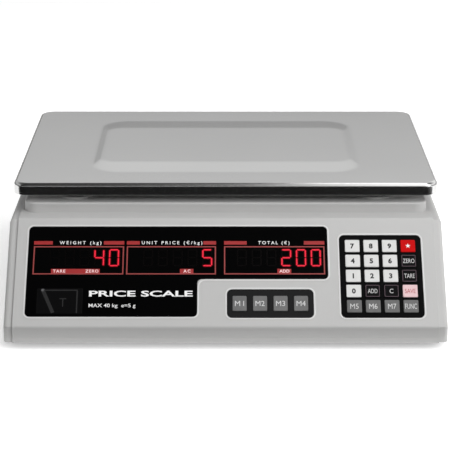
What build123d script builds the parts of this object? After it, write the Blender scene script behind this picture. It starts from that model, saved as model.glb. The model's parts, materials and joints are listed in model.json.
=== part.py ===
from build123d import *
import math
import os

# Price computing counter scale with a stainless tray, LED displays and embossed keys.
# Millimetres. +X is to the user's right, +Y towards the customer, +Z up.
# The origin is on the floor under the middle of the scale, between its four feet.

os.makedirs("parts", exist_ok=True)

# ---- Driving sizes -------------------------------------------------------------------

# Body
body_width = 349.5        # over both side cheeks
body_depth = 330.0
face_width = 335.0        # the raised front face between the cheeks
cheek_step = 1.6          # how far the cheeks lie below the face
cheek_radius = 3.6
skirt_height = 13.7       # upright front skirt under the sloped panel
panel_rise = 67.4
panel_run = 68.9
rear_skirt_height = 34.0
rear_run = 14.0           # how far the rear face leans forward
wall = 2.5
crease_radius = 3.0
ridge_radius = 4.0
rear_radius = 5.0

# Plinth under the tray
plinth_width = 329.0
plinth_setback = 13.6     # from the top edge of the panel
plinth_rear_ledge = 7.0
plinth_height = 8.5
plinth_corner = 10.0
plinth_edge_radius = 1.4

# Tray
tray_width = 346.5
tray_depth = 235.0
tray_setback = 13.9       # from the top edge of the panel
tray_rim = 10.2
tray_sheet = 0.8
tray_corner = 11.0
tray_edge_radius = 3.4
tray_clearance = 6.2      # from the plinth up to the rim
plateau_width = 224.0
plateau_depth = 164.6
plateau_side_slope = 6.5
plateau_end_slope = 27.0
plateau_height = 1.0
plateau_forward = 2.5     # from the tray's middle towards the keypad
plateau_corner = 25.0
plateau_top_corner = 12.0

# Carrier, pads and collars
pad_spacing_x = 248.0
pad_spacing_y = 183.6
pad_radius = 12.0
pad_height = 3.2
post_radius = 7.0
post_hole_radius = 13.5
collar_radius = 16.3
collar_height = 1.5
carrier_plate = 5.0
carrier_arm_width = 24.0
carrier_core_x = 130.0
carrier_core_y = 60.0
carrier_gap = 4.0         # from the spider up to the roof of the plinth

# Load cell
cell_length = 130.0
cell_width = 30.0
cell_height = 22.0
cell_hole_radius = 8.0
cell_hole_spacing = 26.0
cell_slot = 5.0
cell_bolt_spacing = 15.0
cell_bolt_inset = 12.0
cell_bolt_radius = 3.0
cell_bolt_head_radius = 5.0
cell_bolt_head = 5.0
cell_bolt_depth = 14.0    # thread inside the cell
cell_boss_height = 4.0
cell_boss_length = 40.0
running_clearance = 0.05

# Chassis bridge
bridge_width = 170.0
bridge_depth = 90.0
bridge_sheet = 3.0
bridge_flange = 18.0
bridge_seat = 2.0         # height of the base bosses under its flanges
stop_radius = 3.0
stop_gap = 0.8            # under the free end of the cell

# Base pan, feet and screws
foot_drop = 6.0
foot_radius = 12.0
foot_clear = 0.5          # between the foot and the base
foot_inset_x = 34.0
foot_inset_y = 40.0
stud_radius = 4.0
stud_length = 13.0
foot_boss_radius = 8.0
foot_boss_height = 10.0
floor = 2.5
pan_gap = 0.4
pan_wall = 2.0
pan_wall_height = 8.0
boss_radius = 4.5
boss_inset_x = 12.0
boss_inset_y = 22.0
screw_radius = 1.5
screw_head_radius = 2.8
screw_head = 1.4
screw_length = 12.0

# Battery and its door
battery_x = 70.0
battery_y = 101.0
battery_z = 47.0
battery_centre = (-129.5, 50.0)
battery_gap = 1.0
well_wall = 2.0
well_height = 22.0
door_overlap = 3.0
door_gap = 0.4
door_ledge = 1.5
door_grip = 8.0

# Front display
lens_sheet = 1.0
lens_recess = 1.2
lens_gap = 0.25
lens_left = -158.0
lens_right = 81.4
lens_top = 88.3
lens_bottom = 8.8
lens_step_x = -22.6
lens_step_t = 41.6
lens_corner = 3.6
digit_pitch = 11.83
digit_width = 11.6
digit_height = 19.0
digit_depth = 8.0
digit_t = 60.3
weight_digit_x = -89.2    # centre of the right-hand digit in each window
price_digit_x = -14.7
total_digit_x = 72.1
weight_digits = 5
price_digits = 5
total_digits = 6
board_sheet = 1.6
board_margin = 2.0
aperture_margin = 1.5
standoff_radius = 3.0

# Level under its window
level_window_centre = (-131.0, 22.5)
level_window_size = (36.0, 22.0)
level_shelf_drop = 11.0   # along the panel's normal, to the top of the vial
vial_radius = 7.0
vial_height = 6.0
level_shelf = 2.0
level_post_width = 14.0

# Keypads
bezel_sheet = 1.0
bezel_corner = 4.0
keypad_centre = (123.7, 44.2)
keypad_size = (65.3, 72.7)
key_pitch = (14.87, 13.27)
key_size = (11.7, 10.8)
memory_centre = (35.2, 20.1)
memory_size = (68.2, 24.5)
memory_pitch = 16.17
memory_key_size = (11.1, 13.0)
key_gap = 0.15
key_proud = 0.6
key_lip = 0.7             # flange under the bezel that keeps a key in
key_lip_sheet = 0.6
key_play = 0.05
key_travel = 0.5
key_corner = 0.8
dome_radius = 3.0
bezel_land = 2.5          # rim of the recess that the bezel sticks to

# Rear display
rear_lens_height = 30.0
rear_lens_margin = 20.36  # beyond the outer rear windows
rear_lens_t = 22.0
rear_digit_gap = 10.0     # between the three rear windows
rear_standoff_inset = 8.0

# Power switch in the right cheek
switch_y = 100.0
switch_z = 32.0
switch_pocket = (26.0, 20.0)
switch_pocket_depth = 5.0
switch_flange = (21.0, 15.0)
switch_flange_sheet = 1.5
switch_body = (18.6, 12.8)
switch_body_depth = 14.0
rocker_size = (15.0, 10.4)
rocker_gap = 0.3
rocker_end_gap = 0.9      # lets the rocker's ends swing
rocker_depth = 4.0
rocker_high = 2.2         # the raised end, above the switch's flange
rocker_low = 0.6
pivot_radius = 1.2        # of the rocker's two pins
pivot_pin = 0.9
pivot_depth = 2.0         # below the switch's flange

# Mains inlet in the rear skirt
inlet_x = 112.0
inlet_flange = (31.0, 23.0)
inlet_flange_sheet = 2.0
inlet_body = (27.0, 19.8)
inlet_depth = 22.0
inlet_socket = (24.0, 16.4)
inlet_socket_depth = 16.0
inlet_chamfer = 4.0
contact_size = (2.0, 4.0)
contact_length = 14.0
contact_pitch = 7.0
contact_offset = 2.0

# Transformer and main board
transformer_centre = (126.0, 28.0)
transformer_core = (48.0, 24.0, 40.0)
transformer_coil = (30.0, 12.0, 26.0)
transformer_seat = 4.0
main_board_centre = (5.0, -82.0)
main_board_size = (150.0, 76.0)
main_board_seat = 6.0

# ---- Places worked out from the sizes --------------------------------------------------

front_y = -body_depth / 2
rear_y = body_depth / 2
base_z = foot_drop
crease_z = base_z + skirt_height
deck_z = crease_z + panel_rise
ridge_y = front_y + panel_run
rear_break_z = base_z + rear_skirt_height
deck_rear_y = rear_y - rear_run
floor_z = base_z + floor

plinth_front_y = ridge_y + plinth_setback
plinth_rear_y = deck_rear_y - plinth_rear_ledge
plinth_depth = plinth_rear_y - plinth_front_y
plinth_y = (plinth_front_y + plinth_rear_y) / 2
plinth_top_z = deck_z + plinth_height

tray_y = ridge_y + tray_setback + tray_depth / 2
rim_z = plinth_top_z + tray_clearance
tray_top_z = rim_z + tray_rim
pad_top_z = tray_top_z - tray_sheet
pad_z = pad_top_z - pad_height
spider_top_z = plinth_top_z - wall - carrier_gap
spider_z = spider_top_z - carrier_plate

bridge_z = floor_z + bridge_seat
cell_x = (cell_length - cell_boss_length) / 2
cell_top_z = spider_z - cell_boss_height - 8.0
cell_z = cell_top_z - cell_height
bridge_top_z = cell_z - cell_boss_height

panel = Plane(
    origin=(0, front_y, crease_z), x_dir=(1, 0, 0), z_dir=(0, -panel_rise, panel_run)
)
rear_face = Plane(
    origin=(0, rear_y, rear_break_z),
    x_dir=(-1, 0, 0),
    z_dir=(0, deck_z - rear_break_z, rear_run),
)
rear_skirt = Plane(
    origin=(inlet_x, rear_y, base_z + rear_skirt_height / 2),
    x_dir=(-1, 0, 0),
    z_dir=(0, 1, 0),
)
right_cheek = Plane(
    origin=(body_width / 2, switch_y, switch_z), x_dir=(0, 1, 0), z_dir=(1, 0, 0)
)
panel_axis = Axis((0, 0, 0), panel.z_dir)
module_top = lens_recess + 0.2
board_depth = module_top + digit_depth
key_board_depth = wall


def finish(piece, name):
    """Labels a finished sub-part and writes it as its own STEP file."""
    piece.part.label = name
    export_step(piece.part, f"parts/{name}.step")


def tray_plane(height):
    """Level plane at that height, centred under the tray."""
    return Plane((0, tray_y, height))


# ---- Housing -----------------------------------------------------------------------


def side_outline(inset, low_z):
    """Side view of the body, drawn in by inset and cut off flat at low_z."""
    corners = (
        ((front_y, crease_z), crease_radius),
        ((ridge_y, deck_z), ridge_radius),
        ((deck_rear_y, deck_z), rear_radius),
        ((rear_y, rear_break_z), rear_radius),
    )
    with BuildSketch(Plane.YZ) as outline:
        with BuildLine():
            Polyline(
                (front_y, low_z - inset),
                *[point for point, _ in corners],
                (rear_y, low_z - inset),
                close=True,
            )
        make_face()
        if inset > 0:
            offset(amount=-inset, kind=Kind.INTERSECTION)
        for point, radius in corners:
            nearest = outline.vertices().sort_by_distance(Vector(*point))[0]
            fillet(nearest, max(radius - inset, 0.5))
    return outline.sketch


def lens_outline(clearance):
    """Outline of the stepped front lens, grown by a clearance."""
    with BuildSketch() as outline:
        with BuildLine():
            Polyline(
                (lens_left, lens_bottom),
                (lens_step_x, lens_bottom),
                (lens_step_x, lens_step_t),
                (lens_right, lens_step_t),
                (lens_right, lens_top),
                (lens_left, lens_top),
                close=True,
            )
        make_face()
        fillet(outline.vertices(), lens_corner)
        if clearance > 0:
            offset(amount=clearance, kind=Kind.ARC)
    return outline.sketch


def digit_places(right_x, count):
    """Centres of a row of digits, counted leftwards from the right-hand one."""
    return [(right_x - digit_pitch * n, digit_t) for n in range(count)]


def window_centre(right_x, count):
    """Centre of the window over a row of digits."""
    return (right_x - digit_pitch * (count - 1) / 2, digit_t)


front_windows = (
    (weight_digit_x, weight_digits),
    (price_digit_x, price_digits),
    (total_digit_x, total_digits),
)
rear_window_widths = [digit_pitch * count for _, count in front_windows]
rear_total_width = sum(rear_window_widths) + 2 * rear_digit_gap
rear_lens_size = (rear_total_width + 2 * rear_lens_margin, rear_lens_height)
rear_window_starts = [
    -rear_total_width / 2 + sum(rear_window_widths[:n]) + rear_digit_gap * n for n in range(3)
]

foot_places = [
    (side_x * (body_width / 2 - foot_inset_x), side_y * (body_depth / 2 - foot_inset_y))
    for side_y in (-1, 1)
    for side_x in (-1, 1)
]
boss_places = [
    (side_x * (body_width / 2 - boss_inset_x), side_y * (body_depth / 2 - boss_inset_y))
    for side_y in (-1, 1)
    for side_x in (-1, 1)
]
digits_left = weight_digit_x - digit_pitch * (weight_digits - 1) - digit_width / 2
board_left = digits_left - 2 * standoff_radius - board_margin
board_right = lens_right - board_margin
board_low = digit_t - digit_height / 2 - 2 * board_margin
board_high = lens_top - board_margin / 2
front_standoffs = [
    (board_left + standoff_radius, digit_t),
    ((board_left + board_right) / 2, board_high - standoff_radius),
    (board_right - standoff_radius, board_high - standoff_radius),
]
rear_standoffs = [
    (side * (rear_lens_size[0] / 2 - rear_standoff_inset), rear_lens_t) for side in (-1, 1)
]

with BuildPart() as cavity:
    extrude(side_outline(wall, base_z - 1), amount=face_width / 2 - wall, both=True)
    extrude(
        side_outline(cheek_step + wall, base_z - 1), amount=body_width / 2 - wall, both=True
    )
    with BuildSketch(Plane((0, plinth_y, deck_z - wall - 1))):
        RectangleRounded(
            plinth_width - 2 * wall, plinth_depth - 2 * wall, plinth_corner - wall
        )
    extrude(amount=plinth_height + 1)
    # Material left standing: screw bosses, display standoffs, switch pocket, inlet pad
    with BuildSketch(Plane.XY.offset(floor_z)):
        with Locations(*boss_places):
            Circle(boss_radius)
    extrude(amount=body_depth, mode=Mode.SUBTRACT)
    with BuildSketch(panel.offset(-board_depth)):
        with Locations(*front_standoffs):
            Circle(standoff_radius)
    extrude(amount=board_depth, mode=Mode.SUBTRACT)
    with BuildSketch(rear_face.offset(-board_depth)):
        with Locations(*rear_standoffs):
            Circle(standoff_radius)
    extrude(amount=board_depth, mode=Mode.SUBTRACT)
    with BuildSketch(right_cheek.offset(-switch_pocket_depth - wall)):
        Rectangle(switch_pocket[0] + 2 * wall, switch_pocket[1] + 2 * wall)
    extrude(amount=switch_pocket_depth + wall, mode=Mode.SUBTRACT)
    with BuildSketch(rear_skirt.offset(-inlet_flange_sheet - cheek_step - wall)):
        Rectangle(inlet_flange[0] + 2 * wall, inlet_flange[1] + 2 * wall)
    extrude(amount=inlet_flange_sheet + cheek_step + wall, mode=Mode.SUBTRACT)

with BuildPart() as top_housing:
    extrude(side_outline(0, base_z), amount=face_width / 2, both=True)
    extrude(side_outline(cheek_step, base_z), amount=body_width / 2, both=True)
    for end in (0, -1):
        side_face = top_housing.faces().sort_by(Axis.X)[end]
        rims = side_face.edges().filter_by(lambda edge: edge.center().Z > base_z + 0.1)
        fillet(rims, cheek_radius)
    with BuildSketch(Plane((0, plinth_y, deck_z - wall / 2))):
        RectangleRounded(plinth_width, plinth_depth, plinth_corner)
    extrude(amount=plinth_height + wall / 2)
    fillet(top_housing.faces().sort_by(Axis.Z)[-1].edges(), plinth_edge_radius)
    add(cavity.part, mode=Mode.SUBTRACT)
    # Screw holes in the bosses
    with BuildSketch(Plane.XY.offset(floor_z)):
        with Locations(*boss_places):
            Circle(screw_radius + running_clearance)
    extrude(amount=screw_length, mode=Mode.SUBTRACT)
    # Collars and holes for the carrier's posts
    with BuildSketch(tray_plane(plinth_top_z)):
        with GridLocations(pad_spacing_x, pad_spacing_y, 2, 2):
            Circle(collar_radius)
    extrude(amount=collar_height)
    with BuildSketch(tray_plane(plinth_top_z + collar_height)):
        with GridLocations(pad_spacing_x, pad_spacing_y, 2, 2):
            Circle(post_hole_radius)
    extrude(amount=-collar_height - wall - 1, mode=Mode.SUBTRACT)
    # Front lens recess, display apertures and level aperture
    with BuildSketch(panel):
        add(lens_outline(lens_gap))
    extrude(amount=-lens_recess, mode=Mode.SUBTRACT)
    with BuildSketch(panel):
        for right_x, count in front_windows:
            with Locations(window_centre(right_x, count)):
                Rectangle(digit_pitch * count + aperture_margin, digit_height + aperture_margin)
        with Locations(level_window_centre):
            Rectangle(level_window_size[0] - 4, level_window_size[1] - 4)
    extrude(amount=-wall - 1, mode=Mode.SUBTRACT)
    # Keypad recesses with their apertures
    for centre, size in ((keypad_centre, keypad_size), (memory_centre, memory_size)):
        with BuildSketch(panel):
            with Locations(centre):
                RectangleRounded(
                    size[0] + 2 * key_gap, size[1] + 2 * key_gap, bezel_corner + key_gap
                )
        extrude(amount=-bezel_sheet, mode=Mode.SUBTRACT)
        with BuildSketch(panel):
            with Locations(centre):
                RectangleRounded(size[0] - 2 * bezel_land, size[1] - 2 * bezel_land, 2)
        extrude(amount=-wall - 1, mode=Mode.SUBTRACT)
    # Rear lens recess with its apertures
    with BuildSketch(rear_face):
        with Locations((0, rear_lens_t)):
            RectangleRounded(
                rear_lens_size[0] + 2 * lens_gap, rear_lens_size[1] + 2 * lens_gap, lens_corner
            )
    extrude(amount=-lens_recess, mode=Mode.SUBTRACT)
    with BuildSketch(rear_face):
        for start, width in zip(rear_window_starts, rear_window_widths):
            with Locations((start + width / 2, rear_lens_t)):
                Rectangle(width + aperture_margin, digit_height + aperture_margin)
    extrude(amount=-wall - 1, mode=Mode.SUBTRACT)
    # Power switch pocket
    with BuildSketch(right_cheek):
        Rectangle(*switch_pocket)
    extrude(amount=-switch_pocket_depth, mode=Mode.SUBTRACT)
    with BuildSketch(right_cheek.offset(-switch_pocket_depth)):
        Rectangle(switch_body[0] + 2 * key_gap, switch_body[1] + 2 * key_gap)
    extrude(amount=-wall - 1, mode=Mode.SUBTRACT)
    # Mains inlet recess
    with BuildSketch(rear_skirt):
        Rectangle(inlet_flange[0] + 2 * key_gap, inlet_flange[1] + 2 * key_gap)
    extrude(amount=-inlet_flange_sheet, mode=Mode.SUBTRACT)
    with BuildSketch(rear_skirt.offset(-inlet_flange_sheet)):
        Rectangle(inlet_body[0] + 2 * key_gap, inlet_body[1] + 2 * key_gap)
    extrude(amount=-wall - cheek_step - 1, mode=Mode.SUBTRACT)
finish(top_housing, "top_housing")

# ---- Base pan, battery and its door -------------------------------------------------

door_size = (battery_x + 2 * door_overlap + 2, battery_y + 2 * door_overlap + 2)
well_size = (battery_x + 2 * battery_gap, battery_y + 2 * battery_gap)
board_post_places = [
    (
        main_board_centre[0] + side_x * (main_board_size[0] / 2 - 5),
        main_board_centre[1] + side_y * (main_board_size[1] / 2 - 5),
    )
    for side_y in (-1, 1)
    for side_x in (-1, 1)
]
bridge_foot_x = (bridge_width - bridge_flange) / 2

def pan_outline(inset):
    """Outline of the base inside the housing's walls, drawn in by inset."""
    margin = 2 * (wall + pan_gap + inset)
    with BuildSketch() as outline:
        Rectangle(face_width - margin, body_depth - margin)
        Rectangle(body_width - margin, body_depth - 2 * cheek_step - margin)
    return outline.sketch


with BuildPart() as base_pan:
    with BuildSketch(Plane.XY.offset(base_z)):
        add(pan_outline(0))
    extrude(amount=floor)
    with BuildSketch(Plane.XY.offset(floor_z)):
        add(pan_outline(0))
        add(pan_outline(pan_wall), mode=Mode.SUBTRACT)
        with Locations(*boss_places):
            Circle(boss_radius + pan_gap, mode=Mode.SUBTRACT)
        with Locations((inlet_x, rear_y)):
            Rectangle(inlet_flange[0] + 6 * wall, 8 * wall, mode=Mode.SUBTRACT)
    extrude(amount=pan_wall_height)
    # Foot bosses, bridge seats, transformer seat and board posts
    with BuildSketch(Plane.XY.offset(floor_z)):
        with Locations(*foot_places):
            Circle(foot_boss_radius)
    extrude(amount=foot_boss_height)
    with BuildSketch(tray_plane(floor_z)):
        with Locations((-bridge_foot_x, 0), (bridge_foot_x, 0)):
            Rectangle(bridge_flange - 2, bridge_depth - 2)
    extrude(amount=bridge_seat)
    with BuildSketch(Plane.XY.offset(floor_z)):
        with Locations(transformer_centre):
            Rectangle(transformer_core[0] - 4, transformer_core[1] - 4)
    extrude(amount=transformer_seat)
    with BuildSketch(Plane.XY.offset(floor_z)):
        with Locations(*board_post_places):
            Circle(standoff_radius)
    extrude(amount=main_board_seat)
    # Battery well with the ledge that the door closes against
    with BuildSketch(Plane.XY.offset(floor_z)):
        with Locations(battery_centre):
            Rectangle(door_size[0] + 2 * well_wall, door_size[1] + 2 * well_wall)
    extrude(amount=door_ledge)
    with BuildSketch(Plane.XY.offset(floor_z)):
        with Locations(battery_centre):
            Rectangle(well_size[0] + 2 * well_wall, well_size[1] + 2 * well_wall)
    extrude(amount=well_height)
    with BuildSketch(Plane.XY.offset(base_z)):
        with Locations(battery_centre):
            Rectangle(*well_size)
    extrude(amount=floor + well_height, mode=Mode.SUBTRACT)
    with BuildSketch(Plane.XY.offset(base_z)):
        with Locations(battery_centre):
            Rectangle(door_size[0] + 2 * door_gap, door_size[1] + 2 * door_gap)
    extrude(amount=floor, mode=Mode.SUBTRACT)
    # Bores for the foot studs and holes for the housing screws
    with BuildSketch(Plane.XY.offset(base_z)):
        with Locations(*foot_places):
            Circle(stud_radius + running_clearance)
    extrude(amount=floor + foot_boss_height, mode=Mode.SUBTRACT)
    with BuildSketch(Plane.XY.offset(base_z)):
        with Locations(*boss_places):
            Circle(screw_radius + running_clearance)
    extrude(amount=floor, mode=Mode.SUBTRACT)
    with BuildSketch(Plane.XY.offset(base_z)):
        with Locations(*boss_places):
            Circle(screw_head_radius + running_clearance)
    extrude(amount=screw_head, mode=Mode.SUBTRACT)
finish(base_pan, "base_pan")

with BuildPart() as battery_door:
    with BuildSketch(Plane.XY.offset(base_z)):
        with Locations(battery_centre):
            RectangleRounded(*door_size, 1.5)
    extrude(amount=floor - 0.1)
    with BuildSketch(Plane.XY.offset(base_z)):
        with Locations((battery_centre[0], battery_centre[1] - door_size[1] / 2 + door_grip)):
            SlotOverall(3 * door_grip, door_grip)
    extrude(amount=floor / 2, mode=Mode.SUBTRACT)
finish(battery_door, "battery_door")

battery_z0 = floor_z + door_ledge / 2
with BuildPart() as battery:
    with BuildSketch(Plane.XY.offset(battery_z0)):
        with Locations(battery_centre):
            RectangleRounded(battery_x, battery_y, 2)
    extrude(amount=battery_z)
    fillet(battery.faces().sort_by(Axis.Z)[-1].edges(), 1)
    with BuildSketch(Plane.XY.offset(battery_z0 + battery_z)):
        with Locations(battery_centre):
            with GridLocations(24, battery_y - 16, 2, 1):
                with Locations((0, battery_y / 2 - 8)):
                    Rectangle(6, 4)
    extrude(amount=6)
finish(battery, "battery")

with BuildPart() as housing_screws:
    with BuildSketch(Plane.XY.offset(base_z)):
        with Locations(*boss_places):
            Circle(screw_head_radius)
    extrude(amount=screw_head)
    with BuildSketch(Plane.XY.offset(base_z + screw_head)):
        with Locations(*boss_places):
            Circle(screw_radius)
    extrude(amount=screw_length - screw_head)
    with BuildSketch(Plane.XY.offset(base_z)):
        with Locations(*boss_places):
            Rectangle(3.6, 0.8)
            Rectangle(0.8, 3.6)
    extrude(amount=screw_head / 2, mode=Mode.SUBTRACT)
finish(housing_screws, "housing_screws")

# ---- Levelling feet --------------------------------------------------------------------

for name, place in zip(("front_left", "front_right", "rear_left", "rear_right"), foot_places):
    with BuildPart() as foot:
        with BuildSketch():
            with Locations(place):
                Circle(foot_radius)
        extrude(amount=foot_drop - foot_clear)
        chamfer(foot.faces().sort_by(Axis.Z)[0].edges(), 0.8)
        with BuildSketch(Plane.XY.offset(foot_drop - foot_clear)):
            with Locations(place):
                Circle(stud_radius)
        extrude(amount=stud_length)
        chamfer(foot.faces().sort_by(Axis.Z)[-1].edges(), 0.6)
    finish(foot, f"foot_{name}")

# ---- Chassis bridge, load cell and carrier -----------------------------------------------

cell_bolt_places = [
    (-cell_length / 2 + cell_bolt_inset, 0),
    (-cell_length / 2 + cell_bolt_inset + cell_bolt_spacing, 0),
]
carrier_bolt_places = [(-x, y) for x, y in cell_bolt_places]
stop_place = (cell_length / 2 - cell_bolt_inset - cell_bolt_spacing / 2, 0)

with BuildPart() as chassis_bridge:
    with BuildSketch(Plane.XZ.offset(-tray_y)) as hat:
        with BuildLine():
            Polyline(
                (-bridge_width / 2, bridge_z),
                (-bridge_width / 2 + bridge_flange, bridge_z),
                (-bridge_width / 2 + bridge_flange, bridge_top_z - bridge_sheet),
                (bridge_width / 2 - bridge_flange, bridge_top_z - bridge_sheet),
                (bridge_width / 2 - bridge_flange, bridge_z),
                (bridge_width / 2, bridge_z),
                (bridge_width / 2, bridge_z + bridge_sheet),
                (bridge_width / 2 - bridge_flange + bridge_sheet, bridge_z + bridge_sheet),
                (bridge_width / 2 - bridge_flange + bridge_sheet, bridge_top_z),
                (-bridge_width / 2 + bridge_flange - bridge_sheet, bridge_top_z),
                (-bridge_width / 2 + bridge_flange - bridge_sheet, bridge_z + bridge_sheet),
                (-bridge_width / 2, bridge_z + bridge_sheet),
                close=True,
            )
        make_face()
    extrude(amount=bridge_depth / 2, both=True)
    with BuildSketch(tray_plane(bridge_top_z)):
        with Locations((-cell_x, 0)):
            Rectangle(cell_boss_length, cell_width)
    extrude(amount=cell_boss_height)
    with BuildSketch(tray_plane(bridge_top_z - bridge_sheet)):
        with Locations(*cell_bolt_places):
            Circle(cell_bolt_radius + running_clearance)
        with Locations(stop_place):
            Circle(stop_radius + running_clearance)
    extrude(amount=bridge_sheet + cell_boss_height, mode=Mode.SUBTRACT)
finish(chassis_bridge, "chassis_bridge")

with BuildPart() as load_cell:
    with BuildSketch(tray_plane(cell_z)):
        Rectangle(cell_length, cell_width)
    extrude(amount=cell_height)
    with BuildSketch(Plane.XZ.offset(-tray_y)):
        with Locations((-cell_hole_spacing / 2, cell_z + cell_height / 2)):
            Circle(cell_hole_radius)
        with Locations((cell_hole_spacing / 2, cell_z + cell_height / 2)):
            Circle(cell_hole_radius)
        with Locations((0, cell_z + cell_height / 2)):
            Rectangle(cell_hole_spacing, cell_slot)
    extrude(amount=cell_width / 2, both=True, mode=Mode.SUBTRACT)
    with BuildSketch(tray_plane(cell_z)):
        with Locations(*cell_bolt_places):
            Circle(cell_bolt_radius + running_clearance)
    extrude(amount=cell_bolt_depth + 1, mode=Mode.SUBTRACT)
    with BuildSketch(tray_plane(cell_top_z)):
        with Locations(*carrier_bolt_places):
            Circle(cell_bolt_radius + running_clearance)
    extrude(amount=-cell_bolt_depth - 1, mode=Mode.SUBTRACT)
finish(load_cell, "load_cell")

with BuildPart() as load_cell_bolts:
    bolt_head_z = bridge_top_z - bridge_sheet
    with BuildSketch(tray_plane(bolt_head_z)):
        with Locations(*cell_bolt_places):
            Circle(cell_bolt_head_radius)
    extrude(amount=-cell_bolt_head)
    with BuildSketch(tray_plane(bolt_head_z)):
        with Locations(*cell_bolt_places):
            Circle(cell_bolt_radius)
    extrude(amount=bridge_sheet + cell_boss_height + cell_bolt_depth)
    with BuildSketch(tray_plane(bolt_head_z - cell_bolt_head)):
        with Locations(*cell_bolt_places):
            RegularPolygon(cell_bolt_radius, 6)
    extrude(amount=cell_bolt_head / 2, mode=Mode.SUBTRACT)
finish(load_cell_bolts, "load_cell_bolts")

with BuildPart() as overload_stop:
    with BuildSketch(tray_plane(bridge_top_z - bridge_sheet)):
        with Locations(stop_place):
            Circle(stop_radius)
    extrude(amount=bridge_sheet + cell_boss_height - stop_gap)
    with BuildSketch(tray_plane(bridge_top_z - bridge_sheet)):
        with Locations(stop_place):
            RegularPolygon(stop_radius + 2.5, 6)
    extrude(amount=-3)
finish(overload_stop, "overload_stop")

arm_angle = math.degrees(math.atan2(pad_spacing_y, pad_spacing_x))
arm_length = math.hypot(pad_spacing_x, pad_spacing_y)
with BuildPart() as pan_carrier:
    with BuildSketch(tray_plane(spider_z)):
        for angle in (arm_angle, -arm_angle):
            with Locations(Location((0, 0, 0), (0, 0, angle))):
                Rectangle(arm_length, carrier_arm_width)
        Rectangle(carrier_core_x, carrier_core_y)
        with GridLocations(pad_spacing_x, pad_spacing_y, 2, 2):
            Circle(carrier_arm_width / 2 + 2)
        with Locations((-carrier_core_x / 4, 0)):
            Rectangle(carrier_core_x / 4, carrier_core_y / 2, mode=Mode.SUBTRACT)
    extrude(amount=carrier_plate)
    with BuildSketch(tray_plane(spider_z)):
        with Locations((cell_x, 0)):
            Rectangle(cell_boss_length, cell_width)
    extrude(amount=cell_top_z - spider_z)
    with BuildSketch(tray_plane(spider_top_z)):
        with GridLocations(pad_spacing_x, pad_spacing_y, 2, 2):
            Circle(post_radius)
    extrude(amount=pad_z - spider_top_z)
    with BuildSketch(tray_plane(cell_top_z)):
        with Locations(*carrier_bolt_places):
            Circle(cell_bolt_radius + running_clearance)
    extrude(amount=spider_top_z - cell_top_z, mode=Mode.SUBTRACT)
finish(pan_carrier, "pan_carrier")

carrier_bolt_head = carrier_gap - 1.0
with BuildPart() as carrier_bolts:
    with BuildSketch(tray_plane(spider_top_z)):
        with Locations(*carrier_bolt_places):
            Circle(cell_bolt_head_radius)
    extrude(amount=carrier_bolt_head)
    with BuildSketch(tray_plane(spider_top_z)):
        with Locations(*carrier_bolt_places):
            Circle(cell_bolt_radius)
    extrude(amount=-(spider_top_z - cell_top_z + cell_bolt_depth))
    with BuildSketch(tray_plane(spider_top_z + carrier_bolt_head)):
        with Locations(*carrier_bolt_places):
            RegularPolygon(cell_bolt_radius, 6)
    extrude(amount=-carrier_bolt_head / 2, mode=Mode.SUBTRACT)
finish(carrier_bolts, "carrier_bolts")

with BuildPart() as support_pads:
    with BuildSketch(tray_plane(pad_z)):
        with GridLocations(pad_spacing_x, pad_spacing_y, 2, 2):
            Circle(pad_radius)
    extrude(amount=pad_height)
    low_rims = support_pads.edges().filter_by(GeomType.CIRCLE).group_by(Axis.Z)[0]
    chamfer(low_rims, 0.8)
finish(support_pads, "support_pads")

# ---- Tray ------------------------------------------------------------------------------

plateau_top = (
    plateau_width - 2 * plateau_side_slope,
    plateau_depth - 2 * plateau_end_slope,
)
with BuildPart() as tray_hollow:
    with BuildSketch(tray_plane(rim_z)):
        RectangleRounded(
            tray_width - 2 * tray_sheet, tray_depth - 2 * tray_sheet, tray_corner - tray_sheet
        )
    extrude(amount=tray_rim - tray_sheet)
    fillet(tray_hollow.faces().sort_by(Axis.Z)[-1].edges(), tray_edge_radius - tray_sheet)

with BuildPart() as weighing_tray:
    with BuildSketch(tray_plane(rim_z)):
        RectangleRounded(tray_width, tray_depth, tray_corner)
    extrude(amount=tray_rim)
    fillet(weighing_tray.faces().sort_by(Axis.Z)[-1].edges(), tray_edge_radius)
    with BuildSketch(tray_plane(tray_top_z)):
        with Locations((0, -plateau_forward)):
            RectangleRounded(plateau_width, plateau_depth, plateau_corner)
    with BuildSketch(tray_plane(tray_top_z + plateau_height)):
        with Locations((0, -plateau_forward)):
            RectangleRounded(*plateau_top, plateau_top_corner)
    loft()
    add(tray_hollow.part, mode=Mode.SUBTRACT)
    with BuildSketch(tray_plane(tray_top_z - tray_sheet)):
        with Locations((0, -plateau_forward)):
            RectangleRounded(plateau_width, plateau_depth, plateau_corner)
    with BuildSketch(tray_plane(tray_top_z + plateau_height - tray_sheet)):
        with Locations((0, -plateau_forward)):
            RectangleRounded(*plateau_top, plateau_top_corner)
    loft(mode=Mode.SUBTRACT)
finish(weighing_tray, "weighing_tray")

# ---- Front display ----------------------------------------------------------------------

with BuildPart() as display_lens:
    with BuildSketch(panel.offset(-lens_recess)):
        add(lens_outline(0))
        with Locations(level_window_centre):
            RectangleRounded(*level_window_size, 1, mode=Mode.SUBTRACT)
    extrude(amount=lens_sheet)
finish(display_lens, "display_lens")

with BuildPart() as level_window:
    with BuildSketch(panel.offset(-lens_recess)):
        with Locations(level_window_centre):
            RectangleRounded(*level_window_size, 1)
    extrude(amount=lens_sheet)
finish(level_window, "level_window")

with BuildPart() as front_led_modules:
    with BuildSketch(panel.offset(-board_depth)):
        for right_x, count in front_windows:
            with Locations(*digit_places(right_x, count)):
                Rectangle(digit_width, digit_height)
    extrude(amount=digit_depth)
finish(front_led_modules, "front_led_modules")

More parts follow.
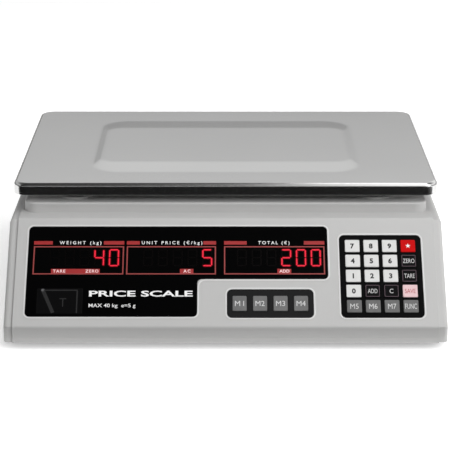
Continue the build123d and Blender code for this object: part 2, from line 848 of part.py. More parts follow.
with BuildPart() as front_display_board:
    with BuildSketch(panel.offset(-board_depth)):
        with Locations(((board_left + board_right) / 2, (board_low + board_high) / 2)):
            Rectangle(board_right - board_left, board_high - board_low)
    extrude(amount=-board_sheet)
finish(front_display_board, "front_display_board")

# ---- Rear display -----------------------------------------------------------------------

with BuildPart() as rear_display_lens:
    with BuildSketch(rear_face.offset(-lens_recess)):
        with Locations((0, rear_lens_t)):
            RectangleRounded(*rear_lens_size, lens_corner - lens_gap)
    extrude(amount=lens_sheet)
finish(rear_display_lens, "rear_display_lens")

with BuildPart() as rear_led_modules:
    with BuildSketch(rear_face.offset(-board_depth)):
        for start, (_, count) in zip(rear_window_starts, front_windows):
            with Locations(
                *[(start + digit_pitch * (n + 0.5), rear_lens_t) for n in range(count)]
            ):
                Rectangle(digit_width, digit_height)
    extrude(amount=digit_depth)
finish(rear_led_modules, "rear_led_modules")

with BuildPart() as rear_display_board:
    with BuildSketch(rear_face.offset(-board_depth)):
        with Locations((0, rear_lens_t)):
            Rectangle(rear_lens_size[0] - 6, rear_lens_size[1] - 2)
    extrude(amount=-board_sheet)
finish(rear_display_board, "rear_display_board")

# ---- Level ------------------------------------------------------------------------------

level_point = panel.offset(-level_shelf_drop).from_local_coords((*level_window_centre, 0))
shelf_z = level_point.Z - vial_height
with BuildPart() as level_bracket:
    with BuildSketch(Plane((level_point.X, level_point.Y, shelf_z))):
        RectangleRounded(2 * vial_radius + 8, 2 * vial_radius + 4, 2)
    extrude(amount=-level_shelf)
    with BuildSketch(Plane((level_point.X, level_point.Y, floor_z))):
        Rectangle(level_post_width, 2 * level_shelf)
        Rectangle(2 * level_shelf, level_post_width)
    extrude(amount=shelf_z - level_shelf - floor_z)
finish(level_bracket, "level_bracket")

with BuildPart() as level_vial:
    with BuildSketch(Plane((level_point.X, level_point.Y, shelf_z))):
        Circle(vial_radius)
    extrude(amount=vial_height)
    fillet(level_vial.faces().sort_by(Axis.Z)[-1].edges(), 1.5)
finish(level_vial, "level_vial")

# ---- Keys -------------------------------------------------------------------------------

key_rows = (
    ("7", "8", "9", "star"),
    ("4", "5", "6", "zero"),
    ("1", "2", "3", "tare"),
    ("0", "add", "clear", "save"),
    ("m5", "m6", "m7", "func"),
)
memory_row = ("m1", "m2", "m3", "m4")
keypad_keys = {
    name: (
        keypad_centre[0] + (column - 1.5) * key_pitch[0],
        keypad_centre[1] + (2 - row) * key_pitch[1],
    )
    for row, names in enumerate(key_rows)
    for column, name in enumerate(names)
}
memory_keys = {
    name: (memory_centre[0] + (column - 1.5) * memory_pitch, memory_centre[1])
    for column, name in enumerate(memory_row)
}


def bezel(centre, size, places, opening):
    """Flat bezel with a window for each of its keys."""
    with BuildPart() as sheet:
        with BuildSketch(panel.offset(-bezel_sheet)):
            with Locations(centre):
                RectangleRounded(*size, bezel_corner)
            with Locations(*places):
                RectangleRounded(
                    opening[0] + 2 * key_gap,
                    opening[1] + 2 * key_gap,
                    key_corner + key_gap,
                    mode=Mode.SUBTRACT,
                )
        extrude(amount=bezel_sheet)
    return sheet


keypad_bezel = bezel(keypad_centre, keypad_size, keypad_keys.values(), key_size)
finish(keypad_bezel, "keypad_bezel")
memory_key_bezel = bezel(memory_centre, memory_size, memory_keys.values(), memory_key_size)
finish(memory_key_bezel, "memory_key_bezel")

lip_top = bezel_sheet + key_play
lip_bottom = lip_top + key_lip_sheet
dome_sheet = key_board_depth - lip_bottom - key_travel - key_play
for keys, size in ((keypad_keys, key_size), (memory_keys, memory_key_size)):
    for name, place in keys.items():
        with BuildPart() as key:
            with BuildSketch(panel.offset(-lip_top)):
                with Locations(place):
                    RectangleRounded(*size, key_corner)
            extrude(amount=lip_top + key_proud)
            crown = key.faces().sort_by(panel_axis)
            fillet(crown[-1].edges(), key_proud / 2)
            with BuildSketch(panel.offset(-lip_bottom)):
                with Locations(place):
                    Rectangle(size[0] + 2 * key_lip, size[1] + 2 * key_lip)
            extrude(amount=key_lip_sheet)
        finish(key, f"key_{name}")

with BuildPart() as key_boards:
    for centre, size in ((keypad_centre, keypad_size), (memory_centre, memory_size)):
        with BuildSketch(panel.offset(-key_board_depth)):
            with Locations(centre):
                RectangleRounded(size[0] - 1, size[1] - 1, 2)
        extrude(amount=-board_sheet)
    with BuildSketch(panel.offset(-key_board_depth)):
        with Locations(*keypad_keys.values(), *memory_keys.values()):
            Circle(dome_radius)
    extrude(amount=dome_sheet)
finish(key_boards, "key_boards")

# ---- Power switch -----------------------------------------------------------------------

pocket_floor = right_cheek.offset(-switch_pocket_depth)
rocker_x = body_width / 2 - switch_pocket_depth + switch_flange_sheet
pivot_reach = rocker_size[1] / 2 + pivot_pin
with BuildPart() as power_switch_body:
    with BuildSketch(pocket_floor):
        RectangleRounded(*switch_flange, 1.5)
    extrude(amount=switch_flange_sheet)
    with BuildSketch(pocket_floor):
        Rectangle(*switch_body)
    extrude(amount=-switch_body_depth)
    with BuildSketch(pocket_floor.offset(switch_flange_sheet)):
        Rectangle(rocker_size[0] + 2 * rocker_end_gap, rocker_size[1] + 2 * rocker_gap)
    extrude(amount=-switch_flange_sheet - 2 * rocker_depth, mode=Mode.SUBTRACT)
    with BuildSketch(Plane((rocker_x - pivot_depth, switch_y, switch_z))):
        Circle(pivot_radius + running_clearance)
    extrude(amount=pivot_reach + running_clearance, both=True, mode=Mode.SUBTRACT)
    with BuildSketch(pocket_floor.offset(-switch_body_depth)):
        with GridLocations(7, 1, 2, 1):
            Rectangle(0.8, 4.8)
    extrude(amount=-7)
finish(power_switch_body, "power_switch_body")

with BuildPart() as power_switch_rocker:
    with BuildSketch(Plane((rocker_x, switch_y, switch_z))):
        with BuildLine():
            half = rocker_size[0] / 2
            Polyline(
                (rocker_high, -half),
                (-rocker_depth, -half + 1),
                (-rocker_depth, half - 1),
                (rocker_low, half),
            )
            ThreePointArc((rocker_low, half), (rocker_low, 0), (rocker_high, -half))
        make_face()
    extrude(amount=rocker_size[1] / 2, both=True)
    with BuildSketch(Plane((rocker_x - pivot_depth, switch_y, switch_z))):
        Circle(pivot_radius)
    extrude(amount=pivot_reach, both=True)
finish(power_switch_rocker, "power_switch_rocker")

# ---- Mains inlet and transformer ------------------------------------------------------------

contact_places = [
    (-contact_pitch, -contact_offset),
    (0, contact_offset),
    (contact_pitch, -contact_offset),
]
inlet_floor = rear_skirt.offset(-inlet_socket_depth)
with BuildPart() as mains_inlet:
    with BuildSketch(rear_skirt.offset(-inlet_flange_sheet)):
        RectangleRounded(*inlet_flange, 2)
    extrude(amount=inlet_flange_sheet)
    with BuildSketch(rear_skirt.offset(-inlet_flange_sheet)):
        Rectangle(*inlet_body)
    extrude(amount=-inlet_depth + inlet_flange_sheet)
    with BuildSketch(rear_skirt) as socket:
        Rectangle(*inlet_socket)
        chamfer(socket.vertices().group_by(Axis.Y)[-1], inlet_chamfer)
    extrude(amount=-inlet_socket_depth, mode=Mode.SUBTRACT)
    with BuildSketch(inlet_floor):
        with Locations(*contact_places):
            Rectangle(*contact_size)
    extrude(amount=-(inlet_depth - inlet_socket_depth), mode=Mode.SUBTRACT)
finish(mains_inlet, "mains_inlet")

with BuildPart() as inlet_contacts:
    with BuildSketch(rear_skirt.offset(-inlet_depth - 6)):
        with Locations(*contact_places):
            Rectangle(*contact_size)
    extrude(amount=inlet_depth - inlet_socket_depth + 6 + contact_length)
finish(inlet_contacts, "inlet_contacts")

core_z = floor_z + transformer_seat
with BuildPart() as transformer:
    with BuildSketch(Plane.XY.offset(core_z)):
        with Locations(transformer_centre):
            Rectangle(transformer_core[0], transformer_core[1])
    extrude(amount=transformer_core[2])
    with BuildSketch(Plane.XY.offset(core_z + (transformer_core[2] - transformer_coil[2]) / 2)):
        with Locations(transformer_centre):
            with GridLocations(1, transformer_core[1] + transformer_coil[1], 1, 2):
                RectangleRounded(transformer_coil[0], transformer_coil[1], 3)
    extrude(amount=transformer_coil[2])
finish(transformer, "transformer")

# ---- Main board ----------------------------------------------------------------------------

board_z = floor_z + main_board_seat
with BuildPart() as main_board:
    with BuildSketch(Plane((*main_board_centre, board_z))):
        Rectangle(*main_board_size)
    extrude(amount=board_sheet)
finish(main_board, "main_board")

board_top = Plane((*main_board_centre, board_z + board_sheet))
chips = (((-40, 10), (14, 36), 4), ((-10, 12), (28, 18), 4), ((-50, -24), (20, 10), 8))
connectors = (((20, -30), (24, 7), 9), ((50, -30), (18, 7), 9), ((0, 31), (30, 7), 9))
capacitors = (((40, 20), 6.5, 16), ((57, 20), 6.5, 16), ((64, -4), 5, 12))
with BuildPart() as main_board_components:
    for place, size, height in chips + connectors:
        with BuildSketch(board_top):
            with Locations(place):
                Rectangle(*size)
        extrude(amount=height)
    for place, radius, height in capacitors:
        with BuildSketch(board_top):
            with Locations(place):
                Circle(radius)
        extrude(amount=height)
    with BuildSketch(board_top):
        with Locations((20, 12)):
            with GridLocations(1, 5, 1, 4):
                Rectangle(22, 1.5)
            Rectangle(3, 16.5)
    extrude(amount=18)
finish(main_board_components, "main_board_components")
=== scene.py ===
import json
import logging
import math
from dataclasses import dataclass
from enum import Enum
from typing import Callable, Sequence

import bmesh
import bpy
from mathutils import Matrix, Vector


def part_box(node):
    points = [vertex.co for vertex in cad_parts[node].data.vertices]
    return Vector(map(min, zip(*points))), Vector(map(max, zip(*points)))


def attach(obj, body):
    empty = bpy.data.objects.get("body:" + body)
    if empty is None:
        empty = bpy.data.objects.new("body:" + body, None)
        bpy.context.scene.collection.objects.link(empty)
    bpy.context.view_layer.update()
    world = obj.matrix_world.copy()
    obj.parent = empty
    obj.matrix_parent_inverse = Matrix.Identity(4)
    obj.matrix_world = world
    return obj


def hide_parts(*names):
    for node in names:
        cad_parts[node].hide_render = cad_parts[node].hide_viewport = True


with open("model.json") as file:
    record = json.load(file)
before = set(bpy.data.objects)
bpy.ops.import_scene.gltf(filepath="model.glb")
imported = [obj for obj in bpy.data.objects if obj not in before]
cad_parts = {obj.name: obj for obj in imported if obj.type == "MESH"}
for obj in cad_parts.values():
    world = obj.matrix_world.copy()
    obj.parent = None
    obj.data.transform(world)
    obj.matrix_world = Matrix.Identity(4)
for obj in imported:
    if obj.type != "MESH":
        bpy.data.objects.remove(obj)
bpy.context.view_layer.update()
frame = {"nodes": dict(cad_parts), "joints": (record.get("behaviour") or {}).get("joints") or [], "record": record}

log = logging.getLogger("scale")

MM = 0.001
Colour = tuple[float, float, float]
Piece = bpy.types.Object
Term = float | tuple[bpy.types.Node, str | int]
Test = Callable[[Vector, Vector], bool]
Pair = tuple[float, float]
Group = tuple[float, int, str]


# ---- Node groups --------------------------------------------------------------------


class Wiring:
    """A node tree with short calls for adding and joining its nodes."""

    def __init__(self, tree: bpy.types.NodeTree) -> None:
        """Starts on an empty tree.

        Args:
            tree: The material's or group's node tree.
        """
        self.tree = tree
        tree.nodes.clear()

    def add(self, kind: str, settings: dict | None = None, **values: object) -> bpy.types.Node:
        """Adds a node.

        Args:
            kind: The node's type name.
            settings: The node's own properties.
            **values: Input values by socket name, with _ for a blank.

        Returns:
            The new node.
        """
        node = self.tree.nodes.new(kind)
        for key, value in (settings or {}).items():
            setattr(node, key, value)
        for key, value in values.items():
            node.inputs[key.replace("_", " ")].default_value = value
        return node

    def join(
        self, source: bpy.types.Node, out: str | int, target: bpy.types.Node, into: str | int
    ) -> None:
        """Links an output to an input.

        Args:
            source: The node that gives the value.
            out: Its output.
            target: The node that takes it.
            into: Its input.
        """
        self.tree.links.new(source.outputs[out], target.inputs[into])

    def math(self, operation: str, *terms: Term) -> bpy.types.Node:
        """Adds a sum of linked values and numbers.

        Args:
            operation: The sum, such as MULTIPLY.
            *terms: Its terms in order, each a number or a node with its output.

        Returns:
            The math node.
        """
        node = self.add("ShaderNodeMath", {"operation": operation})
        for index, term in enumerate(terms):
            if isinstance(term, tuple):
                self.join(*term, node, index)
            else:
                node.inputs[index].default_value = term
        return node


class Effect(Enum):
    """The effects that several materials share."""

    GRAIN = "moulded grain"
    BRUSHING = "brushed lines"
    # A painted edge highlight: a lighter colour laid along edges, with a softened normal.
    EDGES = "worn edges"
    DUST = "settled dust"


SKIN_OUTPUTS = ("Height", "Tone", "Gloss")
BRUSH_STRETCH = (0.35, 26.0, 26.0)


class Effects:
    """Builds each shared effect once, as a node group."""

    def __init__(self) -> None:
        """Starts with no group built."""
        self.built: dict[Effect, bpy.types.NodeTree] = {}

    def get(self, effect: Effect) -> bpy.types.NodeTree:
        """Gives an effect's group, and builds it the first time.

        Args:
            effect: The effect.

        Returns:
            Its node group.
        """
        if effect not in self.built:
            maker = {
                Effect.GRAIN: self.grain,
                Effect.BRUSHING: self.brushing,
                Effect.EDGES: self.edges,
                Effect.DUST: self.dust,
            }[effect]
            self.built[effect] = maker(effect.value)
        return self.built[effect]

    def shell(self, name: str, inputs: dict[str, float], outputs: Sequence[str]) -> Wiring:
        """Makes an empty group with its sockets.

        Args:
            name: The group's name.
            inputs: Default value of each number input.
            outputs: Names of the outputs; Normal is a vector.

        Returns:
            The group's wiring, with its input and output nodes in place.
        """
        tree = bpy.data.node_groups.new(name, "ShaderNodeTree")
        tree.interface.new_socket("Vector", in_out="INPUT", socket_type="NodeSocketVector")
        for label, value in inputs.items():
            socket = tree.interface.new_socket(label, in_out="INPUT", socket_type="NodeSocketFloat")
            socket.default_value = value
        for label in outputs:
            kind = "NodeSocketVector" if label == "Normal" else "NodeSocketFloat"
            tree.interface.new_socket(label, in_out="OUTPUT", socket_type=kind)
        wiring = Wiring(tree)
        wiring.start = wiring.add("NodeGroupInput")
        wiring.end = wiring.add("NodeGroupOutput")
        return wiring

    def noise(self, wiring: Wiring, scale: str, times: float, detail: float) -> bpy.types.Node:
        """Adds noise over the group's vector.

        Args:
            wiring: The group's wiring.
            scale: The input that gives the scale.
            times: What the scale is multiplied by.
            detail: The noise's detail.

        Returns:
            The noise node.
        """
        size = wiring.math("MULTIPLY", (wiring.start, scale), times)
        cloud = wiring.add("ShaderNodeTexNoise", Detail=detail)
        wiring.join(wiring.start, "Vector", cloud, "Vector")
        wiring.join(size, 0, cloud, "Scale")
        return cloud

    def skin(
        self, wiring: Wiring, height: bpy.types.Node, tone: bpy.types.Node, gloss: bpy.types.Node
    ) -> bpy.types.NodeTree:
        """Joins up a skin's outputs.

        Args:
            wiring: The group's wiring.
            height: What gives the relief.
            tone: What gives the colour's variation.
            gloss: What the roughness varies with.

        Returns:
            The group.
        """
        offset = wiring.math("SUBTRACT", (gloss, 0), 0.5)
        spread = wiring.math(
            "MULTIPLY_ADD", (offset, 0), (wiring.start, "Spread"), (wiring.start, "Roughness")
        )
        for node, label in zip((height, tone, spread), SKIN_OUTPUTS):
            wiring.join(node, 0, wiring.end, label)
        return wiring.tree

    def grain(self, name: str) -> bpy.types.NodeTree:
        """A moulded or cast skin: fine pits, broad patches and uneven gloss.

        Args:
            name: The group's name.

        Returns:
            The group.
        """
        inputs = {"Scale": 1500.0, "Roughness": 0.4, "Spread": 0.1}
        wiring = self.shell(name, inputs, SKIN_OUTPUTS)
        fine = self.noise(wiring, "Scale", 1.0, 3.0)
        broad = self.noise(wiring, "Scale", 0.012, 2.0)
        middle = self.noise(wiring, "Scale", 0.12, 3.0)
        part = wiring.math("MULTIPLY", (middle, 0), 0.4)
        both = wiring.math("MULTIPLY_ADD", (broad, 0), 0.6, (part, 0))
        return self.skin(wiring, fine, both, middle)

    def brushing(self, name: str) -> bpy.types.NodeTree:
        """Long fine lines along X, as a rolled or brushed sheet has.

        Args:
            name: The group's name.

        Returns:
            The group.
        """
        inputs = {"Scale": 60.0, "Roughness": 0.3, "Spread": 0.1}
        wiring = self.shell(name, inputs, SKIN_OUTPUTS)
        stretch = wiring.add("ShaderNodeVectorMath", {"operation": "MULTIPLY"})
        wiring.join(wiring.start, "Vector", stretch, 0)
        stretch.inputs[1].default_value = BRUSH_STRETCH
        lines = wiring.add("ShaderNodeTexNoise", Detail=4.0)
        wiring.join(stretch, 0, lines, "Vector")
        wiring.join(wiring.start, "Scale", lines, "Scale")
        broad = self.noise(wiring, "Scale", 0.14, 2.0)
        return self.skin(wiring, lines, broad, lines)

    def edges(self, name: str) -> bpy.types.NodeTree:
        """Softened edges: a rounded normal, and a broken mask along the edges, where a lighter colour is painted
        as an edge highlight.

        Args:
            name: The group's name.

        Returns:
            The group.
        """
        wiring = self.shell(name, {"Width": 0.0006, "Breakup": 700.0}, ["Normal", "Edge Highlight"])
        soft = wiring.add("ShaderNodeBevel", {"samples": 4})
        wiring.join(wiring.start, "Width", soft, "Radius")
        plain = wiring.add("ShaderNodeNewGeometry")
        turned = wiring.add("ShaderNodeVectorMath", {"operation": "DOT_PRODUCT"})
        wiring.join(soft, 0, turned, 0)
        wiring.join(plain, "Normal", turned, 1)
        edge_band = wiring.add("ShaderNodeMapRange", From_Min=0.995, From_Max=0.8)
        wiring.join(turned, "Value", edge_band, "Value")
        cloud = self.noise(wiring, "Breakup", 1.0, 2.0)
        broken = wiring.add("ShaderNodeMapRange", From_Min=0.35, From_Max=0.65, To_Min=0.2)
        wiring.join(cloud, 0, broken, "Value")
        mask = wiring.math("MULTIPLY", (edge_band, 0), (broken, 0))
        wiring.join(soft, 0, wiring.end, "Normal")
        wiring.join(mask, 0, wiring.end, "Edge Highlight")
        return wiring.tree

    def dust(self, name: str) -> bpy.types.NodeTree:
        """A thin film of dust on faces that look up.

        Args:
            name: The group's name.

        Returns:
            The group.
        """
        wiring = self.shell(name, {"Scale": 120.0, "Amount": 0.1}, ["Film"])
        plain = wiring.add("ShaderNodeNewGeometry")
        parts = wiring.add("ShaderNodeSeparateXYZ")
        wiring.join(plain, "Normal", parts, 0)
        level = wiring.add("ShaderNodeMapRange", From_Min=0.3, From_Max=0.95)
        wiring.join(parts, "Z", level, "Value")
        cloud = self.noise(wiring, "Scale", 1.0, 5.0)
        patch = wiring.add("ShaderNodeMapRange", From_Min=0.35, From_Max=0.75)
        wiring.join(cloud, 0, patch, "Value")
        film = wiring.math("MULTIPLY", (level, 0), (patch, 0))
        amount = wiring.math("MULTIPLY", (film, 0), (wiring.start, "Amount"))
        wiring.join(amount, 0, wiring.end, "Film")
        return wiring.tree


EFFECTS = Effects()


# ---- Finishes -----------------------------------------------------------------------


def shade(colour: Colour, factor: float) -> tuple[float, float, float, float]:
    """A colour made lighter or darker, with full alpha."""
    return (*(min(1.0, part * factor) for part in colour), 1.0)


DUST_COLOUR = (0.62, 0.6, 0.56)
ACRYLIC_IOR = 1.49
# How much lighter the base colour is made for the painted edge highlight.
EDGE_HIGHLIGHT_LIGHTER = 1.35


class Skin(Enum):
    """How a surface is textured."""

    GRAINED = Effect.GRAIN
    BRUSHED = Effect.BRUSHING


@dataclass(frozen=True)
class Finish:
    """One material: a base colour that varies, a skin, softened edges with a painted edge highlight, and dust."""

    name: str
    colour: Colour
    roughness: float = 0.45
    spread: float = 0.12
    skin: Skin = Skin.GRAINED
    scale: float = 1500.0
    relief: float = 0.00001
    tone: float = 0.04
    edge: float = 0.0005
    # Painted edge highlight: its colour, or None for a lighter base colour, and how strongly it shows.
    highlight_colour: Colour | None = None
    edge_highlight: float = 0.35
    dust: float = 0.0
    metal: float = 0.0
    coat: float = 0.0
    specular: float = 0.5
    glow: float = 0.0
    clear: float = 0.0

    def build(self) -> bpy.types.Material:
        """Makes the material.

        Returns:
            The material, with its node tree.
        """
        material = bpy.data.materials.new(self.name)
        material.use_nodes = True
        wiring = Wiring(material.node_tree)
        shader = wiring.add("ShaderNodeBsdfPrincipled")
        output = wiring.add("ShaderNodeOutputMaterial")
        wiring.join(shader, "BSDF", output, "Surface")
        shader.inputs["Metallic"].default_value = self.metal
        shader.inputs["Coat Weight"].default_value = self.coat
        shader.inputs["Specular IOR Level"].default_value = self.specular
        place = wiring.add("ShaderNodeTexCoord")
        skin = self.effect(wiring, place, self.skin.value)
        for label in ("Scale", "Roughness", "Spread"):
            skin.inputs[label].default_value = getattr(self, label.lower())
        wiring.join(skin, "Gloss", shader, "Roughness")
        tint = wiring.add("ShaderNodeValToRGB")
        ends = ((0.3, 1.0 - self.tone), (0.7, 1.0 + self.tone))
        for stop, (position, factor) in zip(tint.color_ramp.elements, ends):
            stop.position = position
            stop.color = shade(self.colour, factor)
        wiring.join(skin, "Tone", tint, 0)
        # Emission: the light of the lit segments, and a painted glow on some printed inks.
        if self.glow > 0.0:
            wiring.join(tint, 0, shader, "Emission Color")
            shader.inputs["Emission Strength"].default_value = self.glow
        # Painted edge highlight: the edges' mask lays a lighter colour along every edge; the bevel also softens
        # the normal.
        edges = self.effect(wiring, place, Effect.EDGES)
        edges.inputs["Width"].default_value = self.edge
        highlight_and_dust = self.blend(wiring, tint, edges, "Edge Highlight", self.highlight_colour, self.edge_highlight)
        if self.dust > 0.0:
            film = self.effect(wiring, place, Effect.DUST)
            film.inputs["Amount"].default_value = self.dust
            highlight_and_dust = self.blend(wiring, highlight_and_dust, film, "Film", DUST_COLOUR, 1.0)
        wiring.join(highlight_and_dust, self.result(highlight_and_dust), shader, "Base Color")
        bump = wiring.add("ShaderNodeBump", Strength=1.0, Distance=self.relief)
        wiring.join(skin, "Height", bump, "Height")
        wiring.join(edges, "Normal", bump, "Normal")
        wiring.join(bump, 0, shader, "Normal")
        if self.clear > 0.0:
            shader.inputs["Transmission Weight"].default_value = self.clear
            shader.inputs["IOR"].default_value = ACRYLIC_IOR
        return material

    def result(self, node: bpy.types.Node) -> str | int:
        """The colour output of a ramp or mix node."""
        return 2 if node.bl_idname == "ShaderNodeMix" else 0

    def effect(self, wiring: Wiring, place: bpy.types.Node, effect: Effect) -> bpy.types.Node:
        """Puts a shared effect into the material.

        Args:
            wiring: The material's wiring.
            place: The texture coordinates.
            effect: Which effect.

        Returns:
            The group node.
        """
        group = wiring.add("ShaderNodeGroup", {"node_tree": EFFECTS.get(effect)})
        wiring.join(place, "Object", group, "Vector")
        return group

    def blend(
        self,
        wiring: Wiring,
        below: bpy.types.Node,
        mask: bpy.types.Node,
        out: str,
        colour: Colour | None,
        amount: float,
    ) -> bpy.types.Node:
        """Lays a colour over another where a mask says.

        Args:
            wiring: The material's wiring.
            below: The ramp or mix that lies under it.
            mask: The effect that gives the mask.
            out: The mask's output.
            colour: The upper colour, or None for the base colour made lighter, as for the painted edge highlight.
            amount: How strongly it shows.

        Returns:
            The mix node.
        """
        upper = shade(colour, 1.0) if colour else shade(self.colour, EDGE_HIGHLIGHT_LIGHTER)
        strength = wiring.math("MULTIPLY", (mask, out), amount)
        mix = wiring.add("ShaderNodeMix", {"data_type": "RGBA"})
        wiring.join(strength, 0, mix, 0)
        wiring.join(below, self.result(below), mix, 6)
        mix.inputs[7].default_value = upper
        return mix


class Paints(Enum):
    """Every finish on the scale."""

    HOUSING = Finish(
        "pale ABS", (0.47, 0.468, 0.463), 0.42, relief=0.000012, tone=0.015, edge=0.0008, edge_highlight=0.2
    )
    # Painted highlight: the bead is the housing's ABS painted lighter, so it shows as a bright rim round the black
    # panels.
    BEAD = Finish(
        "ABS bead with painted highlight", (0.64, 0.64, 0.635), 0.3, relief=0.000004, tone=0.015, edge=0.0002,
        edge_highlight=0.3
    )
    BASE = Finish("dark ABS", (0.05, 0.05, 0.052), 0.5, relief=0.00002, tone=0.06, dust=0.05)
    TRAY = Finish(
        "stainless sheet", (0.68, 0.68, 0.675), 0.16, 0.05, Skin.BRUSHED, 90.0, 0.0000002, 0.012,
        edge=0.0003, edge_highlight=0.3, metal=1.0,
    )
    LENS = Finish(
        "black acrylic", (0.001, 0.001, 0.0011), 0.12, 0.04, relief=0.0000005, specular=0.08,
        edge_highlight=0.1
    )
    WINDOW = Finish(
        "smoked acrylic", (0.0038, 0.0038, 0.004), 0.12, 0.04, relief=0.0000005, specular=0.1,
        edge_highlight=0.1
    )
    MODULE = Finish("digit module", (0.05, 0.05, 0.05), 0.5)
    BOARD = Finish(
        "green circuit board", (0.02, 0.12, 0.05), 0.35, scale=700.0, coat=0.3, tone=0.12
    )
    COMPONENT = Finish("black component resin", (0.03, 0.03, 0.032), 0.4, tone=0.1)
    BEZEL_BLACK = Finish("black keypad film", (0.002, 0.002, 0.0022), 0.42, specular=0.05, edge_highlight=0.2)
    BEZEL_GREY = Finish(
        "charcoal keypad film", (0.009, 0.009, 0.0095), 0.5, specular=0.12, tone=0.15, edge_highlight=0.2
    )
    BATTERY = Finish("battery case", (0.08, 0.08, 0.085), 0.45)
    SWITCH = Finish("black switch nylon", (0.02, 0.02, 0.02), 0.4, edge_highlight=0.5)
    ROCKER = Finish("red rocker", (0.5, 0.02, 0.02), 0.3, tone=0.05)
    BRASS = Finish(
        "nickelled brass", (0.66, 0.6, 0.45), 0.3, 0.1, Skin.BRUSHED, 120.0, 0.000002, 0.05,
        metal=1.0
    )
    IRON = Finish(
        "lacquered laminations", (0.14, 0.14, 0.15), 0.4, 0.15, Skin.BRUSHED, 300.0, 0.00002, 0.15
    )
    VIAL = Finish("level vial", (0.5, 0.75, 0.25), 0.08, 0.02, relief=0.0000005, clear=0.85)
    SCREW = Finish(
        "zinc plate", (0.6, 0.6, 0.58), 0.32, 0.15, tone=0.08, highlight_colour=(0.8, 0.8, 0.8),
        metal=1.0
    )
    BRIDGE = Finish(
        "galvanised sheet", (0.5, 0.51, 0.52), 0.42, 0.25, scale=500.0, tone=0.18, relief=0.000008,
        metal=1.0
    )
    CELL = Finish(
        "machined aluminium", (0.75, 0.75, 0.76), 0.3, 0.12, Skin.BRUSHED, 110.0, 0.000003, 0.05,
        metal=1.0
    )
    CARRIER = Finish(
        "cast aluminium", (0.6, 0.6, 0.6), 0.5, 0.15, scale=900.0, relief=0.00005, metal=1.0
    )
    PAD = Finish("pad rubber", (0.025, 0.025, 0.025), 0.75, relief=0.00002, dust=0.08)
    FOOT = Finish("foot rubber", (0.018, 0.018, 0.018), 0.8, relief=0.00003, dust=0.1)
    KEY_WHITE = Finish(
        "white key", (0.64, 0.64, 0.63), 0.45, tone=0.03, highlight_colour=(0.8, 0.8, 0.8), edge_highlight=0.6
    )
    KEY_BLACK = Finish(
        "black key", (0.003, 0.0028, 0.0032), 0.45, specular=0.08, highlight_colour=(0.06, 0.06, 0.06)
    )
    KEY_GREY = Finish(
        "grey key", (0.117, 0.117, 0.117), 0.5, tone=0.25, highlight_colour=(0.3, 0.3, 0.3)
    )
    KEY_RED = Finish(
        "red key", (0.52, 0.001, 0.002), 0.45, specular=0.06, tone=0.04, highlight_colour=(0.7, 0.1,
        0.08)
    )
    KEY_PINK = Finish("pink key", (0.72, 0.5, 0.52), 0.45, tone=0.03, highlight_colour=(0.9, 0.75, 0.76))
    INK_WHITE = Finish("white ink", (0.82, 0.82, 0.82), 0.6, tone=0.03, edge=0.00005)
    INK_SILVER = Finish("silver grey ink", (0.62, 0.62, 0.62), 0.6, tone=0.05, edge=0.00005)
    # Painted glow: the status ink gives off a little light of its own, though it is only print.
    INK_PALE = Finish("pale status ink, painted glow", (0.85, 0.68, 0.68), 0.6, tone=0.03, edge=0.00005, glow=0.1)
    INK_BLACK = Finish("black ink", (0.01, 0.01, 0.01), 0.6, tone=0.03, edge=0.00005)
    INK_MAUVE = Finish("mauve outline ink", (0.15, 0.1, 0.125), 0.6, tone=0.05, edge=0.00005)
    # Painted highlight: this grey is the glint in the level's window, not a print of the real thing.
    INK_GREY = Finish("grey ink", (0.1, 0.1, 0.105), 0.6, tone=0.05, edge=0.00005)
    INK_DULL = Finish("dull red ink", (0.42, 0.06, 0.07), 0.6, tone=0.05, edge=0.00005)
    # Painted glow: the header and frame inks give off a little light of their own, though they are only print.
    INK_RED = Finish(
        "header red ink, painted glow", (0.32, 0.008, 0.009), 0.5, tone=0.05, edge=0.00005, glow=0.05
    )
    INK_FRAME = Finish(
        "frame red ink, painted glow", (0.27, 0.035, 0.033), 0.5, tone=0.05, edge=0.00005, glow=0.04
    )
    INK_SHADOW = Finish("shadow grey ink", (0.0095, 0.0095, 0.01), 0.5, tone=0.1, edge=0.00005)
    LIT = Finish(
        "lit red segment", (0.72, 0.012, 0.035), 0.4, specular=0.2, tone=0.06, edge=0.00005,
        glow=0.32
    )
    HALO = Finish(
        "red light spread", (0.05, 0.0006, 0.001), 0.4, tone=0.2, edge=0.00005, specular=0.05,
        glow=0.25
    )
    UNLIT = Finish(
        "unlit segment", (0.0012, 0.0008, 0.0008), 0.3, tone=0.1, edge=0.00005, specular=0.06
    )


class Paintbox:
    """Keeps one material for each finish."""

    def __init__(self) -> None:
        """Starts with no material mixed."""
        self.mixed: dict[Paints, bpy.types.Material] = {}

    def dress(self, piece: Piece, paint: Paints) -> None:
        """Puts a finish on a piece in place of whatever it has.

        Args:
            piece: The mesh object.
            paint: The finish.
        """
        if paint not in self.mixed:
            self.mixed[paint] = paint.value.build()
        piece.data.materials.clear()
        piece.data.materials.append(self.mixed[paint])


PAINTBOX = Paintbox()

